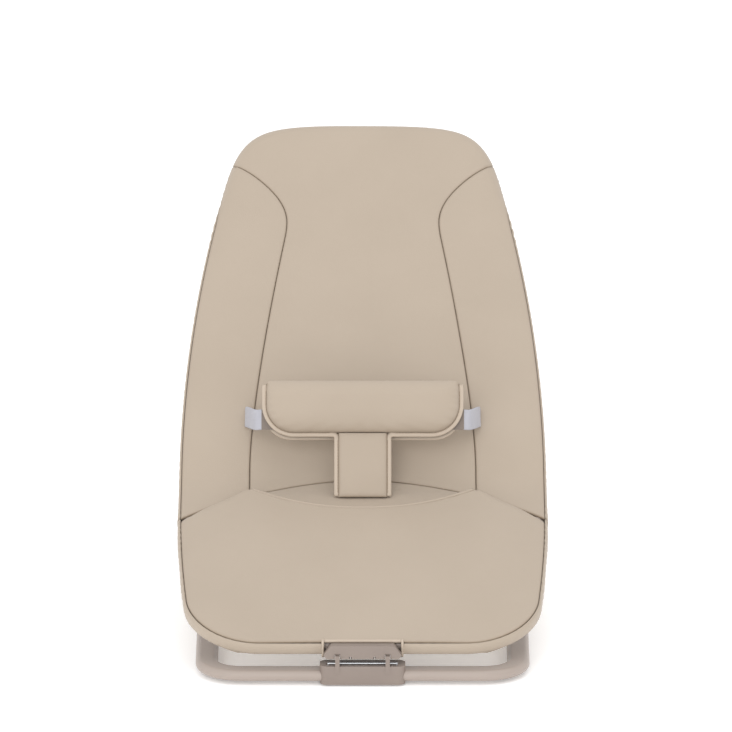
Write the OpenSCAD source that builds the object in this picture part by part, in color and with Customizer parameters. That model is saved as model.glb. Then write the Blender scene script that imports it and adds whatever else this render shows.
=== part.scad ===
// Reclining baby bouncer seat: a bent seat frame with a padded cover, hinged at the front of a
// flat-oval base ring and propped by a swinging stand whose slider runs on a track behind the back.
// X is the width, Y runs from the front to the back, Z is up. All sizes are in millimetres.

/* [Base ring] */
// Length of the base ring, front to back
ring_l = 660; // [600:5:740]
// Width of the ring at the front, outside
ring_front_w = 387; // [340:1:420]
// Width of the ring at the rear, outside
ring_rear_w = 438; // [390:1:470]
// Width of the flat-oval tube
ring_tube_w = 26.5; // [22:0.5:30]
// Height of the flat-oval tube
ring_tube_h = 13; // [11:0.5:16]
// Wall of the flat-oval tube
ring_wall = 1.2; // [0.8:0.1:2]
// Centreline radius of the ring's corners
ring_corner_r = 42; // [34:1:60]
// Height of the rubber feet under the tube
foot_h = 4; // [2:0.5:8]
// Distance from the front of the ring to the joint in each side rail
rail_joint_y = 490; // [440:1:540]

/* [Front hub] */
// Width of the lower hub that clamps the ring
hub_w = 99; // [86:1:120]
// How far the lower hub stands proud of the ring's front
hub_proud = 4; // [3:0.5:8]
// Distance between the two hinge ears, centre to centre
ear_gap = 58; // [46:1:68]
// Thickness of each hinge ear
ear_t = 5; // [4:0.5:8]
// Diameter of the front hinge pin
hinge_pin_d = 4; // [3:0.5:4.5]
// Height of the hinge pin's axis above the floor
hinge_z = 38.5; // [38:0.5:42]
// Radial running clearance of every pivot
pivot_gap = 0.05; // [0.03:0.01:0.09]

/* [Seat frame] */
// Diameter of the seat frame's round tube
hoop_d = 16; // [14:0.5:18]
// Wall of the round tubes
hoop_wall = 1.2; // [0.8:0.1:2]
// Length of the leg section, from the front tube to the elbow
leg_l = 297; // [250:1:340]
// Slope of the leg section above the floor
leg_angle = 20.5; // [17:0.5:23]
// Length of the back section, from the elbow to the head tube
back_l = 521; // [450:1:600]
// Slope of the back section above the floor
back_angle = 49.75; // [45:0.25:56]
// Bend radius of the seat frame at the elbow
elbow_r = 90; // [70:1:120]
// Length of each elbow sleeve
sleeve_l = 64; // [50:1:90]

/* [Padded cover] */
// Greatest width of the cover
seat_w = 456; // [400:1:500]
// Width of the cover at the front, before its corners are rounded
seat_front_w = 398; // [360:1:430]
// Width of the cover where the head starts to round
seat_head_w = 372; // [340:1:430]
// Radius of the cover's front corners
front_corner_r = 80; // [66:1:96]
// Length of the rounded head
head_round_l = 120; // [100:1:150]
// Thickness of the band and of the rear cloth
cloth_t = 3; // [2:0.5:4]
// Height of the padding's crown under the knees, above the tube
knee_crown = 15; // [10:1:22]
// Height of the side bolsters above the tube
bolster_crown = 20; // [14:1:26]
// Height of the back panel's padding above the tube
back_crown = 9; // [6:1:14]

/* [Restraint] */
// Width of the waist pad
waist_pad_w = 247; // [220:1:280]
// Height of the waist pad
waist_pad_h = 66; // [56:1:76]
// Width of the crotch pad
crotch_w = 70; // [56:1:84]
// Thickness of the crotch pad
crotch_t = 9; // [6:1:12]
// Width of the webbing
webbing_w = 25; // [20:1:30]
// Thickness of the webbing
webbing_t = 1.6; // [1.2:0.1:2]

/* [Stand and recline track] */
// Diameter of the stand's tube
stand_d = 16; // [14:0.5:18]
// Width between the stand's legs, centre to centre
stand_w = 336; // [310:1:344]
// Bend radius of the stand's top corners
stand_corner_r = 45; // [36:1:60]
// Height of the stand's pivots above the floor
stand_z = 20; // [18:0.5:24]
// Diameter of the stand's pivot pins
stand_pin_d = 8; // [6:0.5:9]
// Place of the stand's crossbar along the back, from the elbow
cross_s = 210; // [190:1:230]
// Distance of the crossbar behind the seat frame's plane
cross_off = 44; // [42:1:48]
// Travel of the slider along the track
track_travel = 181.5; // [150:0.5:190]
// Width of the recline track
track_w = 26; // [22:1:32]
// Length of the slider housing
slider_l = 62; // [56:1:72]
// Diameter of the latch plunger
plunger_d = 8; // [6:0.5:9]
// Pull of the latch that frees the track
latch_travel = 3; // [2:0.5:4]
// Recline of the seat from its upright position
recline = 20; // [10:1:20]

/* [Hidden] */
$fn = 48;

// Clearances: between touching soft pieces, and between pieces that slide or swing past each other
seam_gap = 0.4;
swing_gap = 0.6;

// Colours
c_tube = "#BEB0A7";
c_hub = "#A89A8F";
c_cover = "#CBBAA8";
c_cloth = "#B9A998";
c_web = "#C8C8CE";
c_steel = "#B8BABD";
c_rubber = "#57524E";
c_button = "#8E8279";

// The whole object is centred front to back on the floor
y_mid = (ring_l - hub_proud) / 2;
module placed() translate([0, -y_mid, 0]) children();
module both_sides() for (side = [-1, 1]) scale([side, 1, 1]) children();

// ---------- Side profile of the seat frame ----------
hub_axis_y = 6;
hoop_r = hoop_d / 2;
front_y = hub_axis_y + hinge_pin_d / 2 + 6 + hoop_r;
front_z = hinge_z + 5.5;
elbow_half = (back_angle - leg_angle) / 2;
elbow_tangent = elbow_r * tan(elbow_half);
function dir(a) = [cos(a), sin(a)];
function nrm(a) = [-sin(a), cos(a)];
elbow = [front_y, front_z] + leg_l * dir(leg_angle);
elbow_start = elbow - elbow_tangent * dir(leg_angle);
elbow_centre = elbow_start + elbow_r * nrm(leg_angle);
seat_l = leg_l + back_l;

// Slope at a station s, measured along the frame from its front tube
function slope(s) =
    s < leg_l - elbow_tangent ? leg_angle :
    s > leg_l + elbow_tangent ? back_angle :
    leg_angle + (back_angle - leg_angle) * (s - leg_l + elbow_tangent) / (2 * elbow_tangent);
function spine(s) =
    s < leg_l - elbow_tangent ? elbow + (s - leg_l) * dir(leg_angle) :
    s > leg_l + elbow_tangent ? elbow + (s - leg_l) * dir(back_angle) :
    elbow_centre - elbow_r * nrm(slope(s));
// A point x across, at station s, h above the frame's plane
function seat_pt(x, s, h) = let (p = spine(s) + h * nrm(slope(s))) [x, p[0], p[1]];

// ---------- Outline of the cover and of the frame ----------
cover_out = hoop_r + cloth_t + 1;
widest_s = leg_l + 33;
head_s = seat_l + cover_out - head_round_l;
front_s = -cover_out;
front_taper = (seat_w - seat_front_w) / 2 / pow(widest_s - front_s, 2);
head_taper = (seat_w - seat_head_w) / 2 / pow(head_s - widest_s, 2);
function side_w(s) = seat_w / 2 - (s < widest_s ? front_taper : head_taper) * pow(s - widest_s, 2);
// Half width of the outline at station s, moved in by inset
function half_w(s, inset = 0) =
    let (r = front_corner_r - inset, d = s - front_s - inset, q = (s - head_s) / (head_round_l - inset))
    d < r ? side_w(s) - inset - r + sqrt(max(0, r * r - pow(r - d, 2))) :
    q > 0 ? (side_w(s) - inset) * pow(max(0, 1 - pow(q, 5)), 0.3) :
    side_w(s) - inset;
function head_station(turn, inset = 0) = head_s + (head_round_l - inset) * pow(sin(turn), 0.4);
function corner_station(turn, inset = 0) = front_s + inset + (front_corner_r - inset) * (1 - cos(turn));
// Right-hand half of the outline, front to head, as [x, s] pairs
// Stations along a side, closer together round the elbow, where every sweep shares them
elbow_step = sleeve_l / 10;
bend_start_s = leg_l - sleeve_l / 2;
bend_end_s = leg_l + sleeve_l / 2;
function elbow_stations() = [for (k = [0:10]) bend_start_s + k * elbow_step];
function spread(from, to, count) = [for (k = [0:count - 1]) from + (to - from) * k / count];
function between(stations, low, high) = [for (s = stations) if (s > low + 1 && s < high - 1) s];
function side_stations(from, to) = concat(
    [from],
    from < bend_start_s ? between(spread(from, min(to, bend_start_s), 6), from, to) : [],
    between(elbow_stations(), from, to),
    to > bend_end_s ? between(spread(max(from, bend_end_s), to, 10), max(from, bend_end_s), to) : [],
    [to]);
function leg_rim(inset, end_s) = concat(
    [for (turn = [0:15:75]) let (s = corner_station(turn, inset)) [half_w(s, inset), s]],
    [for (s = side_stations(corner_station(90, inset), end_s)) [half_w(s, inset), s]]);
function back_rim(inset, start_s) = concat(
    [for (s = side_stations(start_s, head_s)) [half_w(s, inset), s]],
    [for (turn = [2, 5, 9, 16, 25, 35, 46, 57, 68, 79])
        let (s = head_station(turn, inset)) [(side_w(s) - inset) * pow(cos(turn), 0.6), s]]);
function mirrored(rim) = [for (k = [len(rim) - 1:-1:0]) [-rim[k][0], rim[k][1]]];
function leg_loop(inset, end_s) = concat(mirrored(leg_rim(inset, end_s)), leg_rim(inset, end_s));
function back_loop(inset, start_s) =
    let (rim = back_rim(inset, start_s)) concat(rim, [[0, seat_l + cover_out - inset]], mirrored(rim));

// ---------- Swept and gridded solids ----------
// Joins equal rings of points into one closed solid
module rings_solid(rings) {
    n = len(rings[0]);
    m = len(rings);
    polyhedron(
        points = [for (ring = rings) for (p = ring) p],
        faces = concat(
            [[for (i = [0:n - 1]) i]],
            [for (j = [0:m - 2]) for (i = [0:n - 1])
                let (a = j * n + i, b = j * n + (i + 1) % n) [a, a + n, b + n]],
            [for (j = [0:m - 2]) for (i = [0:n - 1])
                let (a = j * n + i, b = j * n + (i + 1) % n) [a, b + n, b]],
            [[for (i = [n - 1:-1:0]) (m - 1) * n + i]]));
}
function unit(v) = v / norm(v);
function along(path, k) = unit(path[min(k + 1, len(path) - 1)] - path[max(k - 1, 0)]);
function up_at(s) = [0, nrm(slope(s))[0], nrm(slope(s))[1]];
// A round rod of radius r along a loop of [x, s] pairs in the frame's plane
module rod_on(loop, r, sides = 16, over = 0) {
    path = [for (q = loop) seat_pt(q[0], q[1], 0)];
    last = len(path) - 1;
    rings_solid([for (k = [0:last])
        let (t = along(path, k), n = up_at(loop[k][1]), e = cross(t, n),
             c = path[k] + over * (k == 0 ? -t : k == last ? t : [0, 0, 0]))
        [for (i = [0:sides - 1]) c + r * (cos(360 * i / sides) * n + sin(360 * i / sides) * e)]]);
}
module hoop_tube(loop) {
    difference() {
        rod_on(loop, hoop_r);
        rod_on(loop, hoop_r - hoop_wall, 16, 1);
    }
}
// A closed slab between a grid of top points and the same grid lower down
module slab(top, low) {
    m = len(top);
    n = len(top[0]);
    count = m * n;
    function id(j, i) = j * n + i;
    polyhedron(
        points = concat([for (row = top) for (p = row) p], [for (row = low) for (p = row) p]),
        faces = concat(
            [for (j = [0:m - 2]) for (i = [0:n - 2]) [id(j, i), id(j + 1, i), id(j + 1, i + 1)]],
            [for (j = [0:m - 2]) for (i = [0:n - 2]) [id(j, i), id(j + 1, i + 1), id(j, i + 1)]],
            [for (j = [0:m - 2]) for (i = [0:n - 2])
                [count + id(j, i), count + id(j + 1, i + 1), count + id(j + 1, i)]],
            [for (j = [0:m - 2]) for (i = [0:n - 2])
                [count + id(j, i), count + id(j, i + 1), count + id(j + 1, i + 1)]],
            [for (i = [0:n - 2]) [id(0, i), id(0, i + 1), count + id(0, i + 1), count + id(0, i)]],
            [for (i = [0:n - 2])
                [id(m - 1, i + 1), id(m - 1, i), count + id(m - 1, i), count + id(m - 1, i + 1)]],
            [for (j = [0:m - 2]) [id(j + 1, 0), id(j, 0), count + id(j, 0), count + id(j + 1, 0)]],
            [for (j = [0:m - 2])
                [id(j, n - 1), id(j + 1, n - 1), count + id(j + 1, n - 1), count + id(j, n - 1)]]));
}
// A slab of the seat from a grid of [x, s, top height] entries down to the height low
module seat_slab(grid, low) {
    slab([for (row = grid) [for (q = row) seat_pt(q[0], q[1], q[2])]],
         [for (row = grid) [for (q = row) seat_pt(q[0], q[1], low)]]);
}

// ---------- Seams of the cover ----------
// u runs from 0 on the centre line to 1 at the edge
pad_low = hoop_r + 0.3;
crease_mid_s = leg_l + 11;
crease_side_s = leg_l - 66;
knee_s = leg_l - 62;
lens_u = 0.62;
function crease_s(u) = crease_mid_s - (crease_mid_s - crease_side_s) * pow(abs(u), 2);
function lens_s(u) = let (q = min(1, abs(u) / lens_u)) knee_s + (crease_s(lens_u) - knee_s) * pow(q, 2.2);
// Half width of the back panel, between its seams with the bolsters
function back_seam_w(s) =
    let (t = s - leg_l)
    t > 390 ? 100 + 58 * pow((t - 390) / 82, 1.8) :
    100 + 42 * pow((390 - t) / 390, 0.8) * (1 - pow(t / 390, 6) / 2);
pad_top_s = head_station(79);
seam_share = seam_gap / seat_w;
function smooth(q) = let (c = min(1, max(0, q))) c * c * (3 - 2 * c);
// Heights of the padding above the frame's plane
function back_height(u, s) =
    let (rise = smooth((s - crease_mid_s) / 70), edge = pow(abs(u), 6), wing = pow(abs(u), 3))
    pad_low + 2.5 + rise * (back_crown - 2 + (bolster_crown - back_crown) * wing) * (1 - edge);
function leg_height(u, s) =
    let (run = smooth((s - front_s) / (knee_s - front_s)), edge = pow(abs(u), 6))
    pad_low + 2.5 + (1.5 + (knee_crown - 2.5) * run) * (1 - edge) * (1 - 0.35 * u * u);
function lens_height(u, s) =
    let (q = min(1, max(0, (s - lens_s(u)) / max(1, crease_s(u) - lens_s(u)))))
    leg_height(u, lens_s(u)) * (1 - q) + back_height(u, crease_mid_s) * q;

// ---------- Stand and slider places ----------
back_up = back_angle;
cross_yz = elbow + cross_s * dir(back_up) - cross_off * nrm(back_up);
stand_pivot = [rail_joint_y, stand_z];
stand_v = cross_yz - stand_pivot;
stand_l = norm(stand_v);
stand_lean = atan2(stand_v[1], stand_v[0]) - 90;
// Frame with its origin on the elbow, its Y up the back and its Z out of the back's front face
module on_back() translate([0, elbow[0], elbow[1]]) rotate([back_up, 0, 0]) children();

// ---------- Base ring ----------
ring_z = foot_h + ring_tube_h / 2;
function rail_x(y) =
    (ring_front_w - ring_tube_w) / 2 + (ring_rear_w - ring_front_w) / 2 * y / ring_l;
rail_splay = atan((ring_rear_w - ring_front_w) / 2 / ring_l);
module flat_oval(w, h) {
    square([w - h, h], center = true);
    for (side = [-1, 1]) translate([side * (w - h) / 2, 0]) circle(d = h);
}
module ring_section() {
    difference() {
        flat_oval(ring_tube_w, ring_tube_h);
        flat_oval(ring_tube_w - 2 * ring_wall, ring_tube_h - 2 * ring_wall);
    }
}
// Straight tube from one point to the next, in the plane of the ring
module ring_straight(from, to) {
    v = to - from;
    translate([from[0], from[1], ring_z]) rotate([0, 0, atan2(v[1], v[0])]) rotate([90, 0, 90])
        linear_extrude(norm(v)) ring_section();
}
module ring_bend(centre, start, turn) {
    translate([centre[0], centre[1], ring_z]) rotate([0, 0, start])
        rotate_extrude(angle = turn) translate([ring_corner_r, 0]) ring_section();
}
front_line = ring_tube_w / 2;
rear_line = ring_l - ring_tube_w / 2;
// Corner centres: the bend is tangent to the cross tube and to the splayed rail
function corner_x(y) = rail_x(y) - ring_corner_r / cos(rail_splay);
front_corner = [corner_x(front_line + ring_corner_r), front_line + ring_corner_r];
rear_corner = [corner_x(rear_line - ring_corner_r), rear_line - ring_corner_r];
front_turn = 90 - rail_splay;
rear_turn = 90 + rail_splay;
module base_front_tube() color(c_tube) placed() {
    ring_straight([-front_corner[0], front_line], [front_corner[0], front_line]);
    both_sides() {
        ring_bend(front_corner, -90, front_turn);
        ring_straight(front_corner + ring_corner_r * dir(-rail_splay), [rail_x(rail_joint_y), rail_joint_y]);
    }
}
module base_rear_tube() color(c_tube) placed() {
    ring_straight([-rear_corner[0], rear_line], [rear_corner[0], rear_line]);
    both_sides() {
        ring_bend(rear_corner, -rail_splay, rear_turn);
        ring_straight([rail_x(rail_joint_y), rail_joint_y], rear_corner + ring_corner_r * dir(-rail_splay));
    }
}

// Thickness of the eye at each end of the stand, which turns beside the connector's boss
eye_t = 14;
// Moulded sleeve over each rail joint, with the boss that carries the stand's pivot
connector_l = 76;
connector_wall = 2.4;
boss_wall = 5;
boss_x = stand_w / 2 + eye_t / 2 + 2;
pin_depth = 8;
module rail_sleeve(extra, length) translate([rail_x(rail_joint_y), rail_joint_y, ring_z])
    rotate([0, 0, -rail_splay]) rotate([90, 0, 0]) linear_extrude(length, center = true)
    flat_oval(ring_tube_w + extra, ring_tube_h + extra);
module side_connector() difference() {
    union() {
        rail_sleeve(2 * connector_wall, connector_l);
        translate([boss_x, rail_joint_y, stand_z]) rotate([0, 90, 0])
            cylinder(d = stand_pin_d + 2 * boss_wall, h = rail_x(rail_joint_y) - boss_x);
    }
    rail_sleeve(0, connector_l + 2);
    translate([boss_x - 1, rail_joint_y, stand_z]) rotate([0, 90, 0])
        cylinder(d = stand_pin_d, h = pin_depth + 1);
    translate([0, rail_joint_y - connector_l, -10]) cube([ring_rear_w, 2 * connector_l, 11]);
}
module side_connector_left() color(c_hub) placed() scale([-1, 1, 1]) side_connector();
module side_connector_right() color(c_hub) placed() side_connector();

// Rubber feet: a pad under each end of each rail, narrower than the tube
foot_w = 18;
foot_l = 44;
foot_seat = 0.4;
module rail_foot(y) {
    translate([rail_x(y), y, 0]) rotate([0, 0, -rail_splay]) {
        translate([-foot_w / 2, -foot_l / 2, 0]) cube([foot_w, foot_l, foot_h + foot_seat]);
        for (end = [-1, 1]) translate([0, end * foot_l / 2, 0]) cylinder(d = foot_w, h = foot_h + foot_seat);
    }
}
module rubber_feet(y) difference() {
    both_sides() rail_foot(y);
    both_sides() rail_form();
}
// The rail's outer form, which hollows the top of each foot
module rail_form() {
    from = front_corner + ring_corner_r * dir(-rail_splay);
    v = rear_corner + ring_corner_r * dir(-rail_splay) - from;
    translate([from[0], from[1], ring_z]) rotate([0, 0, atan2(v[1], v[0])]) rotate([90, 0, 90])
        linear_extrude(norm(v)) flat_oval(ring_tube_w, ring_tube_h);
}
module feet_front() color(c_rubber) placed() rubber_feet(front_corner[1] + foot_l / 2 + foot_w);
module feet_rear() color(c_rubber) placed() rubber_feet(rear_corner[1] - foot_l / 2 - foot_w / 2 - 1);

// ---------- Front hub: two shells that clamp the ring's front tube ----------
hub_rear_y = ring_tube_w + 8;
hub_top = ring_z + ring_tube_h / 2 + 7;
hub_step = 3.8;
hub_step_y = 18;
hub_rib = 0.8;
hub_low = foot_h / 2;
hub_corner_r = 9;
ear_top_r = 5.6;
hub_screw_x = hub_w / 2 - 12;
hub_screw_y = (ring_tube_w + hub_rear_y) / 2;
hub_screw_d = 3;
hub_screw_head_d = 6;
hub_screw_grip = 5;
module hub_outline(w, y0, y1, r) {
    translate([-w / 2 + r, y0]) square([w - 2 * r, y1 - y0]);
    translate([-w / 2, y0 + r]) square([w, y1 - y0 - 2 * r]);
    for (side = [-1, 1]) for (y = [y0 + r, y1 - r]) translate([side * (w / 2 - r), y]) circle(r = r);
}
module front_tube_form() translate([-hub_w, front_line, ring_z]) rotate([90, 0, 90])
    linear_extrude(2 * hub_w) flat_oval(ring_tube_w, ring_tube_h);
// Each ear runs down the front face as a low rib
module ear(x) {
    translate([x - ear_t / 2, hub_axis_y, hinge_z]) rotate([0, 90, 0]) cylinder(r = ear_top_r, h = ear_t);
    translate([x - ear_t / 2, hub_axis_y - ear_top_r, ring_z])
        cube([ear_t, 2 * ear_top_r, hinge_z - ring_z]);
    translate([x - ear_t / 2, -hub_proud, hub_top - 9])
        cube([ear_t, hub_proud + hub_axis_y, hinge_z - 2 - hub_top + 9]);
}
// The top steps down behind, where the seat hub swings
module hub_plan() hub_outline(hub_w, hub_rib - hub_proud, hub_rear_y, hub_corner_r);
module front_hub_upper_shell() color(c_hub) placed() difference() {
    union() {
        translate([0, 0, ring_z]) linear_extrude(hub_top - hub_step - ring_z) hub_plan();
        translate([0, 0, ring_z]) linear_extrude(hub_top - ring_z) intersection() {
            hub_plan();
            translate([-hub_w, -hub_w]) square([2 * hub_w, hub_w + hub_step_y]);
        }
        for (side = [-1, 1]) ear(side * ear_gap / 2);
    }
    front_tube_form();
    translate([-hub_w, hub_axis_y, hinge_z]) rotate([0, 90, 0])
        cylinder(r = hinge_pin_d / 2 + pivot_gap, h = 2 * hub_w);
    for (side = [-1, 1]) {
        translate([side * hub_screw_x, hub_screw_y, ring_z - 1])
            cylinder(d = hub_screw_d, h = hub_screw_grip + 2);
        translate([side * wire_end_x, wire_y, wire_foot_z - 1])
            cylinder(r = wire_d / 2 + pivot_gap, h = wire_z, $fn = 24);
    }
    translate([-wire_end_x, wire_y, wire_z]) rotate([0, 90, 0])
        cylinder(r = wire_d / 2 + pivot_gap, h = 2 * wire_end_x, $fn = 24);
}
module front_hub_lower_shell() color(c_hub) placed() difference() {
    translate([0, 0, hub_low]) linear_extrude(ring_z - hub_low) hub_plan();
    front_tube_form();
    for (side = [-1, 1]) translate([side * hub_screw_x, hub_screw_y, hub_low - 1]) {
        cylinder(d = hub_screw_d, h = ring_z);
        cylinder(d = hub_screw_head_d + 0.4, h = 3.4);
    }
}
module pan_screw(length, d, head_d, head_h) {
    cylinder(d = head_d, h = head_h);
    cylinder(d = d, h = length);
}
module front_hub_screws() color(c_steel) placed()
    for (side = [-1, 1]) translate([side * hub_screw_x, hub_screw_y, hub_low + 0.2])
        pan_screw(ring_z - hub_low + hub_screw_grip, hub_screw_d, hub_screw_head_d, 2.2);

// ---------- Hinge between the hubs ----------
seat_hub_top_w = 75;
seat_hub_low_w = 90;
seat_hub_z0 = hinge_z - 6.1;
seat_hub_z1 = hinge_z + 9.6;
seat_hub_y0 = -1;
seat_hub_y1 = front_y + hoop_r + 4;
hub_split_y = front_y;
pin_end_x = ear_gap / 2 + ear_t / 2 + 9;
module front_hinge_pin() color(c_steel) placed()
    translate([-pin_end_x, hub_axis_y, hinge_z]) rotate([0, 90, 0])
        cylinder(d = hinge_pin_d, h = 2 * pin_end_x);
// Wire form between the ears: it presses the hub back up when the frame springs
wire_d = 2.6;
wire_y = hub_axis_y - ear_top_r + wire_d;
wire_z = hub_top + wire_d / 2 + 0.8;
wire_foot_z = hub_top - 3;
wire_end_x = ear_gap / 2 + ear_t / 2 + 8;
module hinge_spring_wire() color(c_steel) placed() {
    translate([-wire_end_x, wire_y, wire_z]) rotate([0, 90, 0])
        cylinder(d = wire_d, h = 2 * wire_end_x, $fn = 24);
    for (side = [-1, 1]) {
        translate([side * wire_end_x, wire_y, wire_z]) sphere(d = wire_d, $fn = 24);
        translate([side * wire_end_x, wire_y, wire_foot_z])
            cylinder(d = wire_d, h = wire_z - wire_foot_z, $fn = 24);
    }
}
// The seat hub is a tapered block whose two halves clamp the leg hoop
module seat_hub_block(y0, y1) {
    translate([0, y1, 0]) rotate([90, 0, 0]) linear_extrude(y1 - y0) polygon([
        [-seat_hub_low_w / 2 + 3, seat_hub_z0], [seat_hub_low_w / 2 - 3, seat_hub_z0],
        [seat_hub_low_w / 2, seat_hub_z0 + 4], [seat_hub_top_w / 2 + 1, seat_hub_z1 - 2],
        [seat_hub_top_w / 2 - 2, seat_hub_z1], [-seat_hub_top_w / 2 + 2, seat_hub_z1],
        [-seat_hub_top_w / 2 - 1, seat_hub_z1 - 2], [-seat_hub_low_w / 2, seat_hub_z0 + 4]]);
}
// Each ear's slot is cut back below the pin, so that the hub clears the ear when the seat reclines
ear_slot_w = ear_t + 2 * swing_gap;
ear_slot_back = (ear_top_r + swing_gap + (hinge_z - seat_hub_z0) * sin(recline)) / cos(recline);
module hub_cuts() {
    translate([-hub_w, front_y, front_z]) rotate([0, 90, 0]) cylinder(d = hoop_d, h = 2 * hub_w);
    for (side = [-1, 1]) {
        translate([side * ear_gap / 2 - ear_slot_w / 2, hub_axis_y, hinge_z]) rotate([0, 90, 0])
            cylinder(r = ear_top_r + swing_gap, h = ear_slot_w);
        translate([side * ear_gap / 2 - ear_slot_w / 2, -hub_w, seat_hub_z0 - 10])
            cube([ear_slot_w, hub_w + hub_axis_y + ear_slot_back, hinge_z - seat_hub_z0 + 10]);
        translate([side * seat_hub_screw_x, -hub_w, seat_hub_screw_z]) rotate([-90, 0, 0])
            cylinder(d = 3, h = 2 * hub_w);
    }
}
seat_hub_screw_x = 14;
seat_hub_screw_z = front_z - hoop_r - 2.2;
module seat_hub_front_shell() color(c_hub) placed() difference() {
    seat_hub_block(seat_hub_y0, hub_split_y);
    hub_cuts();
    translate([-hub_w, hub_axis_y, hinge_z]) rotate([0, 90, 0]) cylinder(d = hinge_pin_d, h = 2 * hub_w);
}
module seat_hub_rear_shell() color(c_hub) placed() difference() {
    seat_hub_block(hub_split_y, seat_hub_y1);
    hub_cuts();
}
module seat_hub_screws() color(c_steel) placed()
    for (side = [-1, 1]) translate([side * seat_hub_screw_x, seat_hub_y1 + 2, seat_hub_screw_z])
        rotate([90, 0, 0]) pan_screw(20, 3, 6, 2);

// ---------- Seat frame ----------
hoop_in = cover_out;
sleeve_gap = 0.1;
module leg_hoop_tube() color(c_tube) placed() hoop_tube(leg_loop(hoop_in, leg_l - 0.2));
module back_hoop_tube() color(c_tube) placed() hoop_tube(back_loop(hoop_in, leg_l + 0.2));
// Solid sleeve inside the two tubes where they meet at the elbow
module elbow_sleeve() rod_on([for (s = elbow_stations()) [half_w(s, hoop_in), s]],
    hoop_r - hoop_wall - sleeve_gap);
module elbow_sleeve_left() color(c_steel) placed() scale([-1, 1, 1]) elbow_sleeve();
module elbow_sleeve_right() color(c_steel) placed() elbow_sleeve();

// Cross tubes between the sides of the back hoop, which carry the track
cross_tube_d = 14;
cross_low_t = cross_s - slider_l / 2 - 16;
cross_high_t = cross_s + track_travel + slider_l / 2 + 16;
module cross_tube(t) {
    half = half_w(leg_l + t, hoop_in) - hoop_r + 1;
    difference() {
        on_back() difference() {
            translate([-half, t, 0]) rotate([0, 90, 0]) cylinder(d = cross_tube_d, h = 2 * half);
            translate([-half - 1, t, 0]) rotate([0, 90, 0])
                cylinder(d = cross_tube_d - 2 * hoop_wall, h = 2 * half + 2);
            translate([0, t, -cross_tube_d]) cylinder(d = track_screw_d, h = cross_tube_d);
        }
        rod_on(back_loop(hoop_in, leg_l + 0.2), hoop_r);
    }
}
module cross_tube_lower() color(c_tube) placed() cross_tube(cross_low_t);
module cross_tube_upper() color(c_tube) placed() cross_tube(cross_high_t);

// Recline track: a T-section rail behind the back, held to the cross tubes by two posts
track_face = cross_off - 15;
track_head_t = 4;
track_neck_w = 12;
track_top = hoop_r + cloth_t + 1.5;
post_l = 20;
track_screw_d = 4;
track_screw_head_d = 7.6;
track_end_t = cross_low_t - post_l / 2;
module track_bar(w, height) translate([-w / 2, track_end_t, -track_face])
    cube([w, cross_high_t - cross_low_t + post_l, height]);
module recline_track() color(c_hub) placed() on_back() difference() {
    union() {
        track_bar(track_w, track_head_t);
        track_bar(track_neck_w, track_face - track_top);
        for (t = [cross_low_t, cross_high_t])
            translate([-track_neck_w / 2, t - post_l / 2, -track_face])
                cube([track_neck_w, post_l, track_face - 1]);
    }
    for (t = [cross_low_t, cross_high_t]) {
        translate([-track_w, t, 0]) rotate([0, 90, 0]) cylinder(d = cross_tube_d, h = 2 * track_w);
        translate([0, t, -track_face - 1]) cylinder(d = track_screw_d, h = track_face + 2);
        translate([0, t, -track_face - 1]) cylinder(d = track_screw_head_d + 0.4, h = 4);
    }
}
module track_screws() color(c_steel) placed() on_back()
    for (t = [cross_low_t, cross_high_t]) translate([0, t, -track_face + 0.6])
        pan_screw(track_face - cross_tube_d / 2 - 0.6 + hoop_wall, track_screw_d, track_screw_head_d, 2.4);

// ---------- Padded cover ----------
function leg_row(b, count) = [for (i = [-count:count])
    let (u = i / count, far = abs(u) < lens_u ? lens_s(u) : crease_s(u),
         s = front_s + (far - seam_gap - front_s) * b) [u * half_w(s), s, leg_height(u, s)]];
module leg_panel() color(c_cover) placed() difference() {
    seat_slab([for (b = [0, 0.02, 0.06, 0.12, 0.2, 0.3, 0.45, 0.6, 0.75, 0.88, 1]) leg_row(b, 10)], pad_low);
    hub_notch(0);
}
// Room in the cover for the seat hub, from below
module hub_notch(extra) translate([-seat_hub_low_w / 2 - 2, -hub_w, 0])
    cube([seat_hub_low_w + 4, hub_w + seat_hub_y1 + 6 + extra, seat_hub_z1 + 0.6]);
module seat_bottom_panel() color(c_cover) placed() {
    count = 8;
    seat_slab([for (b = [0:0.25:1]) [for (i = [-count:count])
        let (u = 0.97 * lens_u * i / count, s0 = lens_s(u) + seam_gap,
             s1 = crease_s(u) - seam_gap, s = s0 + (s1 - s0) * b)
        [u * half_w(s), s, lens_height(u, s)]]], pad_low);
}
// Rows of the back run from the crease to the head and are shared with the bolsters
back_rows = [0, 0.03, 0.07, 0.12, 0.18, 0.25, 0.33, 0.42, 0.51, 0.6, 0.68, 0.75, 0.8, 0.84, 0.87, 0.9];
head_rows = [0.905, 0.93, 0.95, 0.975, 0.99, 1];
function row_s(b) = crease_mid_s + (pad_top_s - crease_mid_s) * b;
function seam_u(b) = b > 0.9 ? 1 : min(0.99, back_seam_w(row_s(b)) / half_w(row_s(b)));
function back_pt(u, b) =
    let (s = crease_s(u) + seam_gap + (pad_top_s - crease_s(u) - seam_gap) * b)
    [u * half_w(s), s, back_height(u, s)];
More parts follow.
